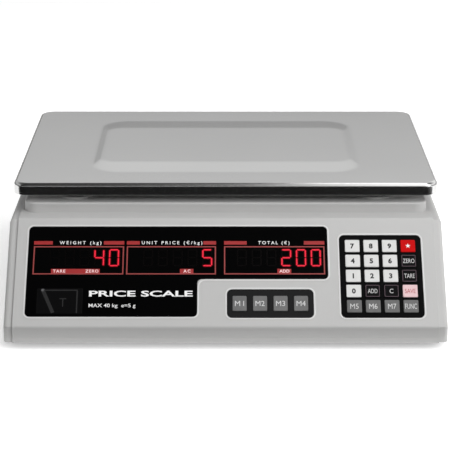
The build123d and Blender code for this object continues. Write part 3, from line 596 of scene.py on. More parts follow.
SLOT_PAINTS = {
    "housing_abs": Paints.HOUSING,
    "base_abs": Paints.BASE,
    "tray_stainless": Paints.TRAY,
    "lens_black": Paints.LENS,
    "window_smoked": Paints.WINDOW,
    "led_body": Paints.MODULE,
    "circuit_board": Paints.BOARD,
    "component_plastic": Paints.COMPONENT,
    "bezel_black": Paints.BEZEL_BLACK,
    "bezel_grey": Paints.BEZEL_GREY,
    "battery_case": Paints.BATTERY,
    "switch_black": Paints.SWITCH,
    "rocker_red": Paints.ROCKER,
    "contact_brass": Paints.BRASS,
    "transformer_iron": Paints.IRON,
    "vial_clear": Paints.VIAL,
    "screw_steel": Paints.SCREW,
    "bridge_steel": Paints.BRIDGE,
    "cell_aluminium": Paints.CELL,
    "carrier_aluminium": Paints.CARRIER,
    "pad_rubber": Paints.PAD,
    "foot_rubber": Paints.FOOT,
    "key_white": Paints.KEY_WHITE,
    "key_black": Paints.KEY_BLACK,
    "key_grey": Paints.KEY_GREY,
    "key_red": Paints.KEY_RED,
    "key_pink": Paints.KEY_PINK,
}


# ---- Bench --------------------------------------------------------------------------


class Pick(Enum):
    """What is picked in edit mode."""

    POINTS = "VERT"
    EDGES = "EDGE"
    FACES = "FACE"


class Bench:
    """The working surface: adds a primitive, shapes it, and puts it away."""

    def clear(self) -> None:
        """Leaves edit mode and deselects everything."""
        current = bpy.context.view_layer.objects.active
        if current and current.mode != "OBJECT":
            bpy.ops.object.mode_set(mode="OBJECT")
        bpy.ops.object.select_all(action="DESELECT")

    def take(self, *pieces: Piece) -> None:
        """Selects only these pieces; the first is the active one.

        Args:
            *pieces: The pieces.
        """
        self.clear()
        for piece in pieces:
            piece.select_set(True)
        bpy.context.view_layer.objects.active = pieces[0]

    def settle(self, name: str) -> Piece:
        """Names the newest primitive and moves its place into its mesh.

        Args:
            name: The piece's name.

        Returns:
            The piece.
        """
        piece = bpy.context.view_layer.objects.active
        piece.name = name
        piece.data.name = name
        self.take(piece)
        bpy.ops.object.transform_apply(location=True, rotation=True, scale=True)
        return piece

    def sheet(self, name: str, low: Pair, high: Pair, z: float = 0.0) -> Piece:
        """Adds a level rectangle between two corners.

        Args:
            name: The piece's name.
            low: Its lowest X and Y.
            high: Its highest X and Y.
            z: Its height.

        Returns:
            The piece.
        """
        self.clear()
        middle = ((low[0] + high[0]) / 2, (low[1] + high[1]) / 2, z)
        bpy.ops.mesh.primitive_plane_add(size=1.0, location=middle)
        bpy.context.view_layer.objects.active.scale = (high[0] - low[0], high[1] - low[1], 1.0)
        return self.settle(name)

    def block(self, name: str, low: Vector, high: Vector) -> Piece:
        """Adds a cuboid between two corners.

        Args:
            name: The piece's name.
            low: Its lowest corner.
            high: Its highest corner.

        Returns:
            The piece.
        """
        self.clear()
        bpy.ops.mesh.primitive_cube_add(size=1.0, location=(low + high) / 2)
        bpy.context.view_layer.objects.active.scale = high - low
        return self.settle(name)

    def drum(self, name: str, middle: Vector, radius: float, height: float, sides: int) -> Piece:
        """Adds an upright cylinder.

        Args:
            name: The piece's name.
            middle: Its middle.
            radius: Its radius.
            height: Its height.
            sides: How many sides it has.

        Returns:
            The piece.
        """
        self.clear()
        bpy.ops.mesh.primitive_cylinder_add(
            vertices=sides, radius=radius, depth=height, location=middle
        )
        return self.settle(name)

    def disc(self, name: str, radius: float, sides: int) -> Piece:
        """Adds a level disc at the origin.

        Args:
            name: The piece's name.
            radius: Its radius.
            sides: How many sides it has.

        Returns:
            The piece.
        """
        self.clear()
        bpy.ops.mesh.primitive_circle_add(vertices=sides, radius=radius, fill_type="NGON")
        return self.settle(name)

    def edit(self, piece: Piece, kind: Pick = Pick.FACES) -> None:
        """Opens a piece in edit mode with nothing picked.

        Args:
            piece: The piece.
            kind: What will be picked first.
        """
        self.take(piece)
        bpy.ops.object.mode_set(mode="EDIT")
        bpy.ops.mesh.select_mode(type=kind.value)
        bpy.ops.mesh.select_all(action="DESELECT")

    def edit_all(self, piece: Piece, kind: Pick = Pick.FACES) -> None:
        """Opens a piece in edit mode with everything picked."""
        self.edit(piece, kind)
        bpy.ops.mesh.select_all(action="SELECT")

    def pick(self, piece: Piece, kind: Pick, test: Test) -> int:
        """Picks parts of the open piece by their place and direction.

        Args:
            piece: The piece in edit mode.
            kind: Points, edges or faces.
            test: Says from a part's middle and its normal, or an edge's own direction, if it is
                picked.

        Returns:
            How many were picked.
        """
        bpy.ops.mesh.select_mode(type=kind.value)
        bpy.ops.mesh.select_all(action="DESELECT")
        shape = bmesh.from_edit_mesh(piece.data)
        count = 0
        if kind is Pick.POINTS:
            rows = [(part, part.co, part.normal) for part in shape.verts]
        elif kind is Pick.EDGES:
            ends = [(part, part.verts[0].co, part.verts[1].co) for part in shape.edges]
            rows = [(part, (low + high) / 2, (high - low).normalized()) for part, low, high in ends]
        else:
            rows = [(part, part.calc_center_median(), part.normal) for part in shape.faces]
        for part, middle, way in rows:
            if test(middle, way):
                part.select_set(True)
                count += 1
        shape.select_flush_mode()
        bmesh.update_edit_mesh(piece.data)
        return count

    def modify(self, piece: Piece, kind: str, **settings: object) -> None:
        """Adds a modifier and applies it.

        Args:
            piece: The piece.
            kind: The modifier's type.
            **settings: Its settings.
        """
        self.take(piece)
        bpy.ops.object.modifier_add(type=kind)
        modifier = piece.modifiers[-1]
        for key, value in settings.items():
            setattr(modifier, key, value)
        bpy.ops.object.modifier_apply(modifier=modifier.name)

    def smooth(self, piece: Piece, angle: float = 35.0) -> None:
        """Shades a piece smooth up to an angle in degrees."""
        self.take(piece)
        bpy.ops.object.shade_smooth_by_angle(angle=math.radians(angle))

    def join(self, name: str, pieces: Sequence[Piece]) -> Piece:
        """Makes one piece of several.

        Args:
            name: The new piece's name.
            pieces: The pieces.

        Returns:
            The joined piece.
        """
        self.take(*pieces)
        if len(pieces) > 1:
            bpy.ops.object.join()
        pieces[0].name = name
        pieces[0].data.name = name
        return pieces[0]

    def set_out(self, master: Piece, name: str, places: Sequence[Matrix]) -> Piece:
        """Copies a piece to several places, each with its own mesh, and joins the copies.

        Args:
            master: The piece that repeats; it is used up.
            name: The joined piece's name.
            places: Where each copy goes.

        Returns:
            The joined piece.
        """
        copies = []
        for place in places:
            copy = master.copy()
            copy.data = master.data.copy()
            copy.data.transform(place)
            bpy.context.scene.collection.objects.link(copy)
            copies.append(copy)
        bpy.data.objects.remove(master)
        return self.join(name, copies)

    def face_up(self, piece: Piece) -> None:
        """Closes edit mode, and turns a flat piece over if it looks down.

        Args:
            piece: The flat piece.
        """
        self.clear()
        if piece.data.polygons[0].normal.z < 0:
            self.edit_all(piece)
            bpy.ops.mesh.flip_normals()
            self.clear()

    def merge_flat(self, piece: Piece, reach: float) -> None:
        """Merges the open flat piece into as few faces as it can have, looking up.

        Args:
            piece: The flat piece in edit mode.
            reach: How far apart merged points may be.
        """
        bpy.ops.mesh.select_all(action="SELECT")
        bpy.ops.mesh.remove_doubles(threshold=reach)
        bpy.ops.mesh.dissolve_limited(angle_limit=math.radians(1))
        bpy.ops.mesh.normals_make_consistent(inside=False)
        self.face_up(piece)

    def raise_sheet(self, piece: Piece, height: float) -> None:
        """Gives a flat piece a thickness, up from where it lies.

        Args:
            piece: The flat piece, facing up.
            height: How thick it becomes.
        """
        self.edit_all(piece)
        bpy.ops.mesh.extrude_region_move(TRANSFORM_OT_translate={"value": (0.0, 0.0, height)})
        bpy.ops.mesh.select_all(action="SELECT")
        bpy.ops.mesh.normals_make_consistent(inside=False)
        self.clear()

    def round_sheet(self, piece: Piece, radius: float, steps: int = 6) -> None:
        """Rounds the corners of a flat piece of one face.

        Args:
            piece: The flat piece.
            radius: The corners' radius.
            steps: How many steps each corner has.
        """
        self.edit_all(piece, Pick.POINTS)
        bpy.ops.mesh.bevel(affect="VERTICES", offset=radius, segments=steps)
        self.clear()

    def frame_of(self, piece: Piece, width: float) -> None:
        """Turns a flat face into a frame of that width, drawn inwards.

        Args:
            piece: The flat piece of one face.
            width: The frame's width.
        """
        self.edit_all(piece)
        bpy.ops.mesh.inset(thickness=width, depth=0.0)
        bpy.ops.mesh.delete(type="FACE")
        self.clear()

    def put_away(self, piece: Piece, paint: Paints, body: str) -> Piece:
        """Dresses a finished piece and gives it its body.

        Args:
            piece: The piece.
            paint: Its finish.
            body: The body that it moves with.

        Returns:
            The piece.
        """
        self.clear()
        PAINTBOX.dress(piece, paint)
        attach(piece, body)
        faces = len(piece.data.polygons)
        log.info("%s: %d faces, %s, on %s", piece.name, faces, paint.value.name, body)
        return piece


BENCH = Bench()


@dataclass(frozen=True)
class Face:
    """A flat side of the scale, with x along it, t up it and h out of it."""

    origin: Vector
    right: Vector
    up: Vector

    def matrix(self) -> Matrix:
        """The matrix that takes x, t, h to the scale's own axes."""
        axes = Matrix((self.right, self.up, self.right.cross(self.up))).transposed()
        return Matrix.Translation(self.origin) @ axes.to_4x4()

    def lay(self, piece: Piece) -> Piece:
        """Moves a piece drawn flat at the origin onto this side.

        Args:
            piece: The piece.

        Returns:
            The same piece.
        """
        piece.matrix_world = self.matrix()
        BENCH.take(piece)
        bpy.ops.object.transform_apply(location=True, rotation=True, scale=True)
        return piece


def front_panel() -> Face:
    """The sloping front panel, found from the keypad's bezel and a key's travel.

    Returns:
        The panel, its origin on the lower crease at the scale's middle.
    """
    press = next(joint for joint in frame["joints"] if joint["name"] == "key_7_press")
    out = -Vector(press["axis"]).normalized()
    up = Vector((0.0, out.z, -out.y))
    low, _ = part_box("keypad_bezel")
    corner = Vector((0.0, low.y, low.z + MM * out.z))
    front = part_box("top_housing")[0].y
    return Face(corner - up * ((corner.y - front) / up.y), Vector((1.0, 0.0, 0.0)), up)


def rear_panel() -> Face:
    """The sloping rear face, found from the customer's lens.

    Returns:
        The face, its origin on the break line at the scale's middle.
    """
    low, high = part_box("rear_display_lens")
    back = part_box("top_housing")[1].y
    run, rise = high.y - low.y, high.z - low.z
    sheet = MM
    lean = math.atan2(run - sheet, rise)
    for _ in range(8):
        lean = math.atan2(run - sheet * math.cos(lean), rise - sheet * math.sin(lean))
    up = Vector((0.0, -math.sin(lean), math.cos(lean)))
    corner = Vector((0.0, high.y, low.z + sheet * math.sin(lean)))
    return Face(corner + up * ((back - corner.y) / up.y), Vector((-1.0, 0.0, 0.0)), up)


# ---- Lettering ----------------------------------------------------------------------


class Align(Enum):
    """Which side of a word is placed."""

    LEFT = "LEFT"
    CENTER = "CENTER"


CAP_HEIGHT = 0.729  # of Blender's own typeface, at size 1
EXTRUDE = 0.01


@dataclass(frozen=True)
class Word:
    """A word in printed letters, drawn flat."""

    text: str
    x: float
    t: float
    height: float
    width: float | None = None
    bold: float = 0.0
    align: Align = Align.CENTER
    stretched: bool = False

    def spread(self, words: Piece, wanted: float) -> None:
        """Sets the letters apart until the word has a width.

        Args:
            words: The text object.
            wanted: The width, in the text's own units.
        """
        widths = []
        for spacing in (1.0, 2.0):
            words.data.space_character = spacing
            bpy.context.view_layer.update()
            widths.append(words.dimensions.x)
        step = widths[1] - widths[0]
        wider = (wanted - widths[0]) / step if step > 1e-6 else 0.0
        words.data.space_character = max(1.0, 1.0 + wider)

    def draw(self, h: float, thickness: float = 0.03) -> Piece:
        """Draws the word as a thin mesh.

        Args:
            h: How far its lower side is from the face, in millimetres.
            thickness: The ink's thickness in millimetres.

        Returns:
            The word, still flat at the origin's height.
        """
        BENCH.clear()
        bpy.ops.object.text_add(location=(0.0, 0.0, 0.0))
        words = bpy.context.view_layer.objects.active
        words.data.body = self.text
        words.data.size = 1.0
        words.data.offset = self.bold
        words.data.resolution_u = 3
        words.data.extrude = EXTRUDE
        tall = CAP_HEIGHT + 2 * self.bold
        if self.width and not self.stretched:
            self.spread(words, self.width * tall / self.height)
        bpy.ops.object.convert(target="MESH")
        piece = bpy.context.view_layer.objects.active
        xs = [point.co.x for point in piece.data.vertices]
        tall_scale = self.height / tall
        wide_scale = self.width / (max(xs) - min(xs)) if self.width else tall_scale
        edge = min(xs) if self.align is Align.LEFT else (min(xs) + max(xs)) / 2
        piece.scale = (wide_scale * MM, tall_scale * MM, thickness / (2 * EXTRUDE) * MM)
        low = self.t - self.height / 2 + self.bold * tall_scale
        piece.location = ((self.x - edge * wide_scale) * MM, low * MM, (h + thickness / 2) * MM)
        return BENCH.settle("word")


# ---- Housing ------------------------------------------------------------------------


@dataclass
class Housing:
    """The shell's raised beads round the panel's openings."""

    bead_width: float = 1.3
    bead_height: float = 0.22
    bead_softness: float = 0.1
    lens_low: Pair = (-158.0, 8.8)
    lens_high: Pair = (81.4, 88.3)
    lens_step: Pair = (-22.6, 41.6)
    lens_corner: float = 3.6
    keypad_centre: Pair = (123.7, 44.2)
    keypad_size: Pair = (65.3, 72.7)
    memory_centre: Pair = (35.2, 20.1)
    memory_size: Pair = (68.2, 24.5)
    bezel_corner: float = 4.0
    recess_gap: float = 0.25

    def lens_sheet(self, name: str) -> Piece:
        """Draws the stepped outline of the lens's bead as one flat face.

        Args:
            name: The piece's name.

        Returns:
            The flat piece, with the lower block under the wide upper one.
        """
        grow = self.recess_gap + self.bead_width
        left, bottom = (MM * (part - grow) for part in self.lens_low)
        right, top = (MM * (part + grow) for part in self.lens_high)
        step_x, step_t = MM * (self.lens_step[0] + grow), MM * (self.lens_step[1] - grow)
        piece = BENCH.sheet(name, (left, bottom), (step_x, top))
        BENCH.edit_all(piece)
        bpy.ops.mesh.bisect(plane_co=(0.0, step_t, 0.0), plane_no=(0.0, 1.0, 0.0))
        BENCH.pick(
            piece,
            Pick.EDGES,
            lambda middle, way: middle.x > step_x - 0.01 * MM and middle.y > step_t + 0.01 * MM,
        )
        move = {"value": (right - step_x, 0.0, 0.0)}
        bpy.ops.mesh.extrude_region_move(TRANSFORM_OT_translate=move)
        BENCH.merge_flat(piece, 0.001 * MM)
        BENCH.round_sheet(piece, (self.lens_corner + grow) * MM)
        return piece

    def bead(self, piece: Piece, panel: Face) -> Piece:
        """Makes a raised bead of a flat outline.

        Args:
            piece: The bead's outer outline; it becomes the bead.
            panel: The panel it stands on.

        Returns:
            The bead.
        """
        BENCH.frame_of(piece, self.bead_width * MM)
        BENCH.raise_sheet(piece, self.bead_height * MM)
        BENCH.modify(
            piece, "BEVEL", width=self.bead_softness * MM, segments=2, limit_method="ANGLE"
        )
        BENCH.smooth(piece)
        return panel.lay(piece)

    def key_panel(self, name: str, centre: Pair, size: Pair) -> Piece:
        """Draws the outline of a keypad's bead as a flat face.

        Args:
            name: The piece's name.
            centre: The keypad's middle on the panel.
            size: The keypad's width and height.

        Returns:
            The flat piece.
        """
        grow = self.recess_gap + self.bead_width
        half = (size[0] / 2 + grow, size[1] / 2 + grow)
        low = (MM * (centre[0] - half[0]), MM * (centre[1] - half[1]))
        high = (MM * (centre[0] + half[0]), MM * (centre[1] + half[1]))
        piece = BENCH.sheet(name, low, high)
        BENCH.round_sheet(piece, (self.bezel_corner + grow) * MM)
        return piece

    def build(self, panel: Face) -> None:
        """Builds the beads and puts them on the housing.

        Args:
            panel: The front panel.
        """
        outlines = [
            self.lens_sheet("lens_bead"),
            self.key_panel("keypad_bead", self.keypad_centre, self.keypad_size),
            self.key_panel("memory_bead", self.memory_centre, self.memory_size),
        ]
        for outline in outlines:
            # The beads take a lighter colour than the housing, a painted highlight.
            BENCH.put_away(self.bead(outline, panel), Paints.BEAD, "scale_body")


# ---- Tray ---------------------------------------------------------------------------


@dataclass
class WeighingTray:
    """The stainless tray: a raised middle with soft slopes, and a rolled, turned-down rim."""

    corner: float = 11.0
    raised: Pair = (224.0, 164.6)
    raised_forward: float = 2.5
    raised_corner: float = 25.0
    side_slope: float = 6.5
    end_slope: float = 27.0
    raised_height: float = 1.0
    top_corner: float = 12.0
    slope_softness: float = 2.4
    sheet: float = 0.8
    edge: float = 3.4
    lip: float = 0.3
    steps: int = 12

    def loop(self, size: Pair, corner: float, middle: Vector, z: float) -> Piece:
        """Draws one rounded rectangle.

        Args:
            size: Its width and depth in metres.
            corner: Its corners' radius in millimetres.
            middle: Its middle.
            z: Its height.

        Returns:
            The flat piece.
        """
        low = (middle.x - size[0] / 2, middle.y - size[1] / 2)
        high = (middle.x + size[0] / 2, middle.y + size[1] / 2)
        piece = BENCH.sheet("tray_loop", low, high, z)
        BENCH.round_sheet(piece, corner * MM, self.steps)
        return piece

    def on_loop(self, size: Pair, corner: float, middle: Vector, z: float) -> Test:
        """Makes a test for the edges that lie along a rounded rectangle.

        Args:
            size: Its width and depth in metres.
            corner: Its corners' radius in millimetres.
            middle: Its middle.
            z: Its height.

        Returns:
            The test, for Bench.pick.
        """
        radius = corner * MM

        def test(place: Vector, way: Vector) -> bool:
            """Says if an edge's middle is on the outline."""
            dx = abs(place.x - middle.x) - size[0] / 2 + radius
            dy = abs(place.y - middle.y) - size[1] / 2 + radius
            gap = math.hypot(max(dx, 0.0), max(dy, 0.0)) + min(max(dx, dy), 0.0) - radius
            return abs(gap) < 0.15 * MM and abs(place.z - z) < 0.01 * MM

        return test

    def build(self) -> Piece:
        """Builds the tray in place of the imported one.

        Returns:
            The tray.
        """
        low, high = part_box("weighing_tray")
        middle = (low + high) / 2
        centre = middle - Vector((0.0, self.raised_forward * MM, 0.0))
        flat_z = high.z - self.raised_height * MM
        foot = (self.raised[0] * MM, self.raised[1] * MM)
        top = (foot[0] - 2 * self.side_slope * MM, foot[1] - 2 * self.end_slope * MM)
        outer_loop = ((high.x - low.x, high.y - low.y), self.corner, middle, flat_z)
        foot_loop = (foot, self.raised_corner, centre, flat_z)
        top_loop = (top, self.top_corner, centre, high.z)
        loops = (outer_loop, foot_loop, top_loop)
        tray = BENCH.join("tray_pressing", [self.loop(*row) for row in loops])
        on_outer, on_foot, on_top = (self.on_loop(*row) for row in loops)

        def on_slope(place: Vector, way: Vector) -> bool:
            """Says if an edge is at the foot or the top of the slopes."""
            return on_foot(place, way) or on_top(place, way)

        BENCH.edit(tray)
        BENCH.pick(tray, Pick.FACES, lambda place, way: place.z < high.z - 0.1 * MM)
        bpy.ops.mesh.delete(type="ONLY_FACE")
        BENCH.pick(tray, Pick.EDGES, lambda place, way: on_outer(place, way) or on_foot(place, way))
        bpy.ops.mesh.bridge_edge_loops()
        BENCH.pick(tray, Pick.EDGES, on_slope)
        bpy.ops.mesh.bridge_edge_loops()
        BENCH.pick(tray, Pick.EDGES, on_outer)
        drop = {"value": (0.0, 0.0, low.z - flat_z)}
        bpy.ops.mesh.extrude_region_move(TRANSFORM_OT_translate=drop)
        bpy.ops.mesh.select_all(action="SELECT")
        bpy.ops.mesh.remove_doubles(threshold=1e-7)
        bpy.ops.mesh.normals_make_consistent(inside=False)
        BENCH.pick(tray, Pick.EDGES, on_outer)
        bpy.ops.mesh.bevel(affect="EDGES", offset=self.edge * MM, segments=8, profile=0.5)
        found = BENCH.pick(tray, Pick.EDGES, on_slope)
        bpy.ops.mesh.bevel(affect="EDGES", offset=self.slope_softness * MM, segments=4, profile=0.5)
        log.info("tray slopes: %d edges softened", found)
        BENCH.clear()
        BENCH.modify(tray, "SOLIDIFY", thickness=self.sheet * MM, offset=-1.0)
        BENCH.edit(tray)
        BENCH.pick(
            tray,
            Pick.EDGES,
            lambda place, way: place.z < low.z + 0.01 * MM and self.outermost(place, low, high),
        )
        bpy.ops.mesh.bevel(affect="EDGES", offset=self.lip * MM, segments=3, profile=0.5)
        BENCH.clear()
        BENCH.smooth(tray, 40.0)
        BENCH.modify(tray, "WEIGHTED_NORMAL", keep_sharp=True)
        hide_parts("weighing_tray")
        return BENCH.put_away(tray, Paints.TRAY, "tray")

    def outermost(self, place: Vector, low: Vector, high: Vector) -> bool:
        """Says if a place is on the rim's outer side."""
        size = (high.x - low.x, high.y - low.y)
        return self.on_loop(size, self.corner, (low + high) / 2, place.z)(place, place)


# ---- Displays -----------------------------------------------------------------------


SEGMENTS = {
    "0": "abcdef", "1": "bc", "2": "abged", "3": "abgcd", "4": "fgbc",
    "5": "afgcd", "6": "afgedc", "7": "abc", "8": "abcdefg", "9": "abcdfg",
}


@dataclass
class Digits:
    """Seven-segment digits made of hexagonal bars."""

    height: float = 15.2
    width: float = 8.1
    stroke: float = 1.12
    gap: float = 0.35
    pitch: float = 11.83
    thickness: float = 0.03
    glow_width: float = 1.5
    glow_thickness: float = 0.004
    glow_depth: float = 0.005

    def bar(self, length: float, upright: bool) -> Piece:
        """Makes one segment.

        Args:
            length: From point to point, in millimetres.
            upright: If it stands on its point.

        Returns:
            The bar, flat at the origin.
        """
        piece = BENCH.disc("segment", self.stroke / 2 * MM, 4)
        self.spread(piece, (length - self.stroke) / 2 * MM, upright)
        BENCH.raise_sheet(piece, self.thickness * MM)
        return piece

    def spread(self, piece: Piece, stretch: float, upright: bool) -> None:
        """Cuts the diamond across and pulls its halves apart, into a long hexagon.

        Args:
            piece: The diamond.
            stretch: How far each half goes.
            upright: If the halves go up and down.
        """
        axis = Vector((0.0, 1.0, 0.0)) if upright else Vector((1.0, 0.0, 0.0))
        BENCH.edit_all(piece)
        bpy.ops.mesh.bisect(plane_co=(0.0, 0.0, 0.0), plane_no=axis)
        bpy.ops.mesh.select_all(action="SELECT")
        bpy.ops.mesh.edge_split()
        for sign in (-1.0, 1.0):
            BENCH.pick(piece, Pick.FACES, lambda middle, way: middle.dot(axis) * sign > 1e-6)
            bpy.ops.transform.translate(value=axis * (stretch * sign))
        cross = Vector((axis.y, axis.x, 0.0))

        def is_cut(middle: Vector, way: Vector) -> bool:
            """Says if an edge is one that the cut left."""
            return abs(way.dot(cross)) > 0.99 and abs(abs(middle.dot(axis)) - stretch) < 1e-6

        BENCH.pick(piece, Pick.EDGES, is_cut)
        bpy.ops.mesh.bridge_edge_loops()
        BENCH.merge_flat(piece, 0.0001 * MM)

    def places(self, letter: str) -> tuple[float, float, bool]:
        """Where a segment lies in its digit.

        Args:
            letter: The segment, a to g.

        Returns:
            Its x and t from the digit's middle, and if it is upright.
        """
        across = (self.width - self.stroke) / 2
        half = (self.height - self.stroke) / 2
        return {
            "a": (0.0, half, False),
            "b": (across, half / 2, True),
            "c": (across, -half / 2, True),
            "d": (0.0, -half, False),
            "e": (-across, -half / 2, True),
            "f": (-across, half / 2, True),
            "g": (0.0, 0.0, False),
        }[letter]

    def rows(self, groups: Sequence[Group], t: float) -> dict[tuple[bool, bool], list[Matrix]]:
        """Sorts every segment of several digit groups.

        Args:
            groups: For each, its right-hand digit's middle, how many digits, and what it reads.
            t: The digits' middle up the face.

        Returns:
            The places by (lit, upright).
        """
        found: dict[tuple[bool, bool], list[Matrix]] = {
            (lit, upright): [] for lit in (True, False) for upright in (True, False)
        }
        for last_x, count, reading in groups:
            shown = reading.rjust(count)
            for index, figure in enumerate(shown):
                x = last_x - (count - 1 - index) * self.pitch
                lit = SEGMENTS.get(figure, "")
                for letter in "abcdefg":
                    dx, dt, upright = self.places(letter)
                    place = Matrix.Translation(((x + dx) * MM, (t + dt) * MM, 0.0))
                    found[(letter in lit, upright)].append(place)
        return found

    def glow(self, prefix: str, face: Face, groups: Sequence[Group], t: float, h: float) -> None:
        """Builds the faint light that spreads round the lit segments.

        Args:
            prefix: How the piece's name starts.
            face: The side of the scale it is on.
            groups: Each group's last middle, count and reading.
            t: The digits' middle up the face.
            h: How far out it lies, in millimetres.
        """
        stroke = self.stroke + self.glow_width
        wide = Digits(self.height, self.width, stroke, 0.0, self.pitch, self.glow_thickness)
        rows = self.rows(groups, t)
        half = (self.height - self.stroke) / 2
        sets = []
        for upright in (True, False):
            length = (half if upright else self.width - self.stroke) + self.glow_width
            sets.append(BENCH.set_out(wide.bar(length, upright), "glow", rows[(True, upright)]))
        piece = BENCH.join(f"{prefix}_light_spread", sets)
        piece.data.transform(Matrix.Translation((0.0, 0.0, h * MM)))
        BENCH.put_away(face.lay(piece), Paints.HALO, "scale_body")

    def build(self, prefix: str, face: Face, groups: Sequence[Group], t: float, h: float) -> None:
        """Builds the lit and the unlit segments of a display.

        Args:
            prefix: How the pieces' names start.
            face: The side of the scale they are on.
            groups: Each group's last middle, count and reading.
            t: The digits' middle up the face.
            h: How far out they lie, in millimetres.
        """
        self.glow(prefix, face, groups, t, h - self.glow_depth)
        half = (self.height - self.stroke) / 2
        lengths = {True: half - self.gap, False: self.width - self.stroke - self.gap}
        rows = self.rows(groups, t)
        for lit, paint in ((True, Paints.LIT), (False, Paints.UNLIT)):
            sets = []
            for upright in (True, False):
                bar = self.bar(lengths[upright], upright)
                sets.append(BENCH.set_out(bar, "segments", rows[(lit, upright)]))
            name = f"{prefix}_{'lit' if lit else 'unlit'}_segments"
            piece = BENCH.join(name, sets)
            piece.data.transform(Matrix.Translation((0.0, 0.0, h * MM)))
            BENCH.put_away(face.lay(piece), paint, "scale_body")


class Print:
    """Collects flat prints of one ink on one face, and makes one piece of them."""

    def __init__(self, name: str, paint: Paints, h: float, thickness: float = 0.03) -> None:
        """Starts with nothing printed.

        Args:
            name: The piece's name.
            paint: The ink.
            h: How far out of the face it lies, in millimetres.
            thickness: The ink's thickness in millimetres.
        """
        self.name, self.paint, self.h, self.thickness = name, paint, h, thickness
        self.parts: list[Piece] = []

    def outline(self, x0: float, t0: float, x1: float, t1: float, corner: float) -> Piece:
        """Draws a rectangle, flat at the ink's height.

        Args:
            x0: Its left.
            t0: Its bottom.
            x1: Its right.
            t1: Its top.
            corner: Its corners' radius.

        Returns:
            The flat piece.
        """
        piece = BENCH.sheet(self.name, (x0 * MM, t0 * MM), (x1 * MM, t1 * MM), self.h * MM)
        if corner > 0:
            BENCH.round_sheet(piece, corner * MM, 4)
        return piece

    def add(self, piece: Piece) -> None:
        """Gives a flat piece the ink's thickness and keeps it."""
        BENCH.raise_sheet(piece, self.thickness * MM)
        self.parts.append(piece)

    def bar(self, x0: float, t0: float, x1: float, t1: float, corner: float = 0.0) -> None:
        """Prints a filled rectangle.

        Args:
            x0: Its left.
            t0: Its bottom.
            x1: Its right.
            t1: Its top.
            corner: Its corners' radius.
        """
        self.add(self.outline(x0, t0, x1, t1, corner))

    def frame(
        self, x0: float, t0: float, x1: float, t1: float, line: float, corner: float = 0.0
    ) -> None:
        """Prints an open frame.

        Args:
            x0: Its left.
            t0: Its bottom.
            x1: Its right.
            t1: Its top.
            line: Its line's width.
            corner: Its corners' radius.
        """
        piece = self.outline(x0, t0, x1, t1, corner)
        BENCH.frame_of(piece, line * MM)
        self.add(piece)

    def word(self, word: Word) -> None:
        """Prints a word."""
        self.parts.append(word.draw(self.h, self.thickness))

    def finish(self, face: Face, body: str, slot: str) -> Piece:
        """Joins the prints and lays them on their face.

        Args:
            face: The side of the scale.
            body: The body they move with.
            slot: The record's slot; it is not used.

        Returns:
            The piece.
        """
        piece = BENCH.join(self.name, self.parts)
        return BENCH.put_away(face.lay(piece), self.paint, body)


@dataclass(frozen=True)
class Reading:
    """One window of a display: its frame, header and digits."""

    title: str
    left: float
    right: float
    block_left: float
    block_right: float
    text_left: float
    text_right: float
    last_digit: float
    digits: int
    value: str


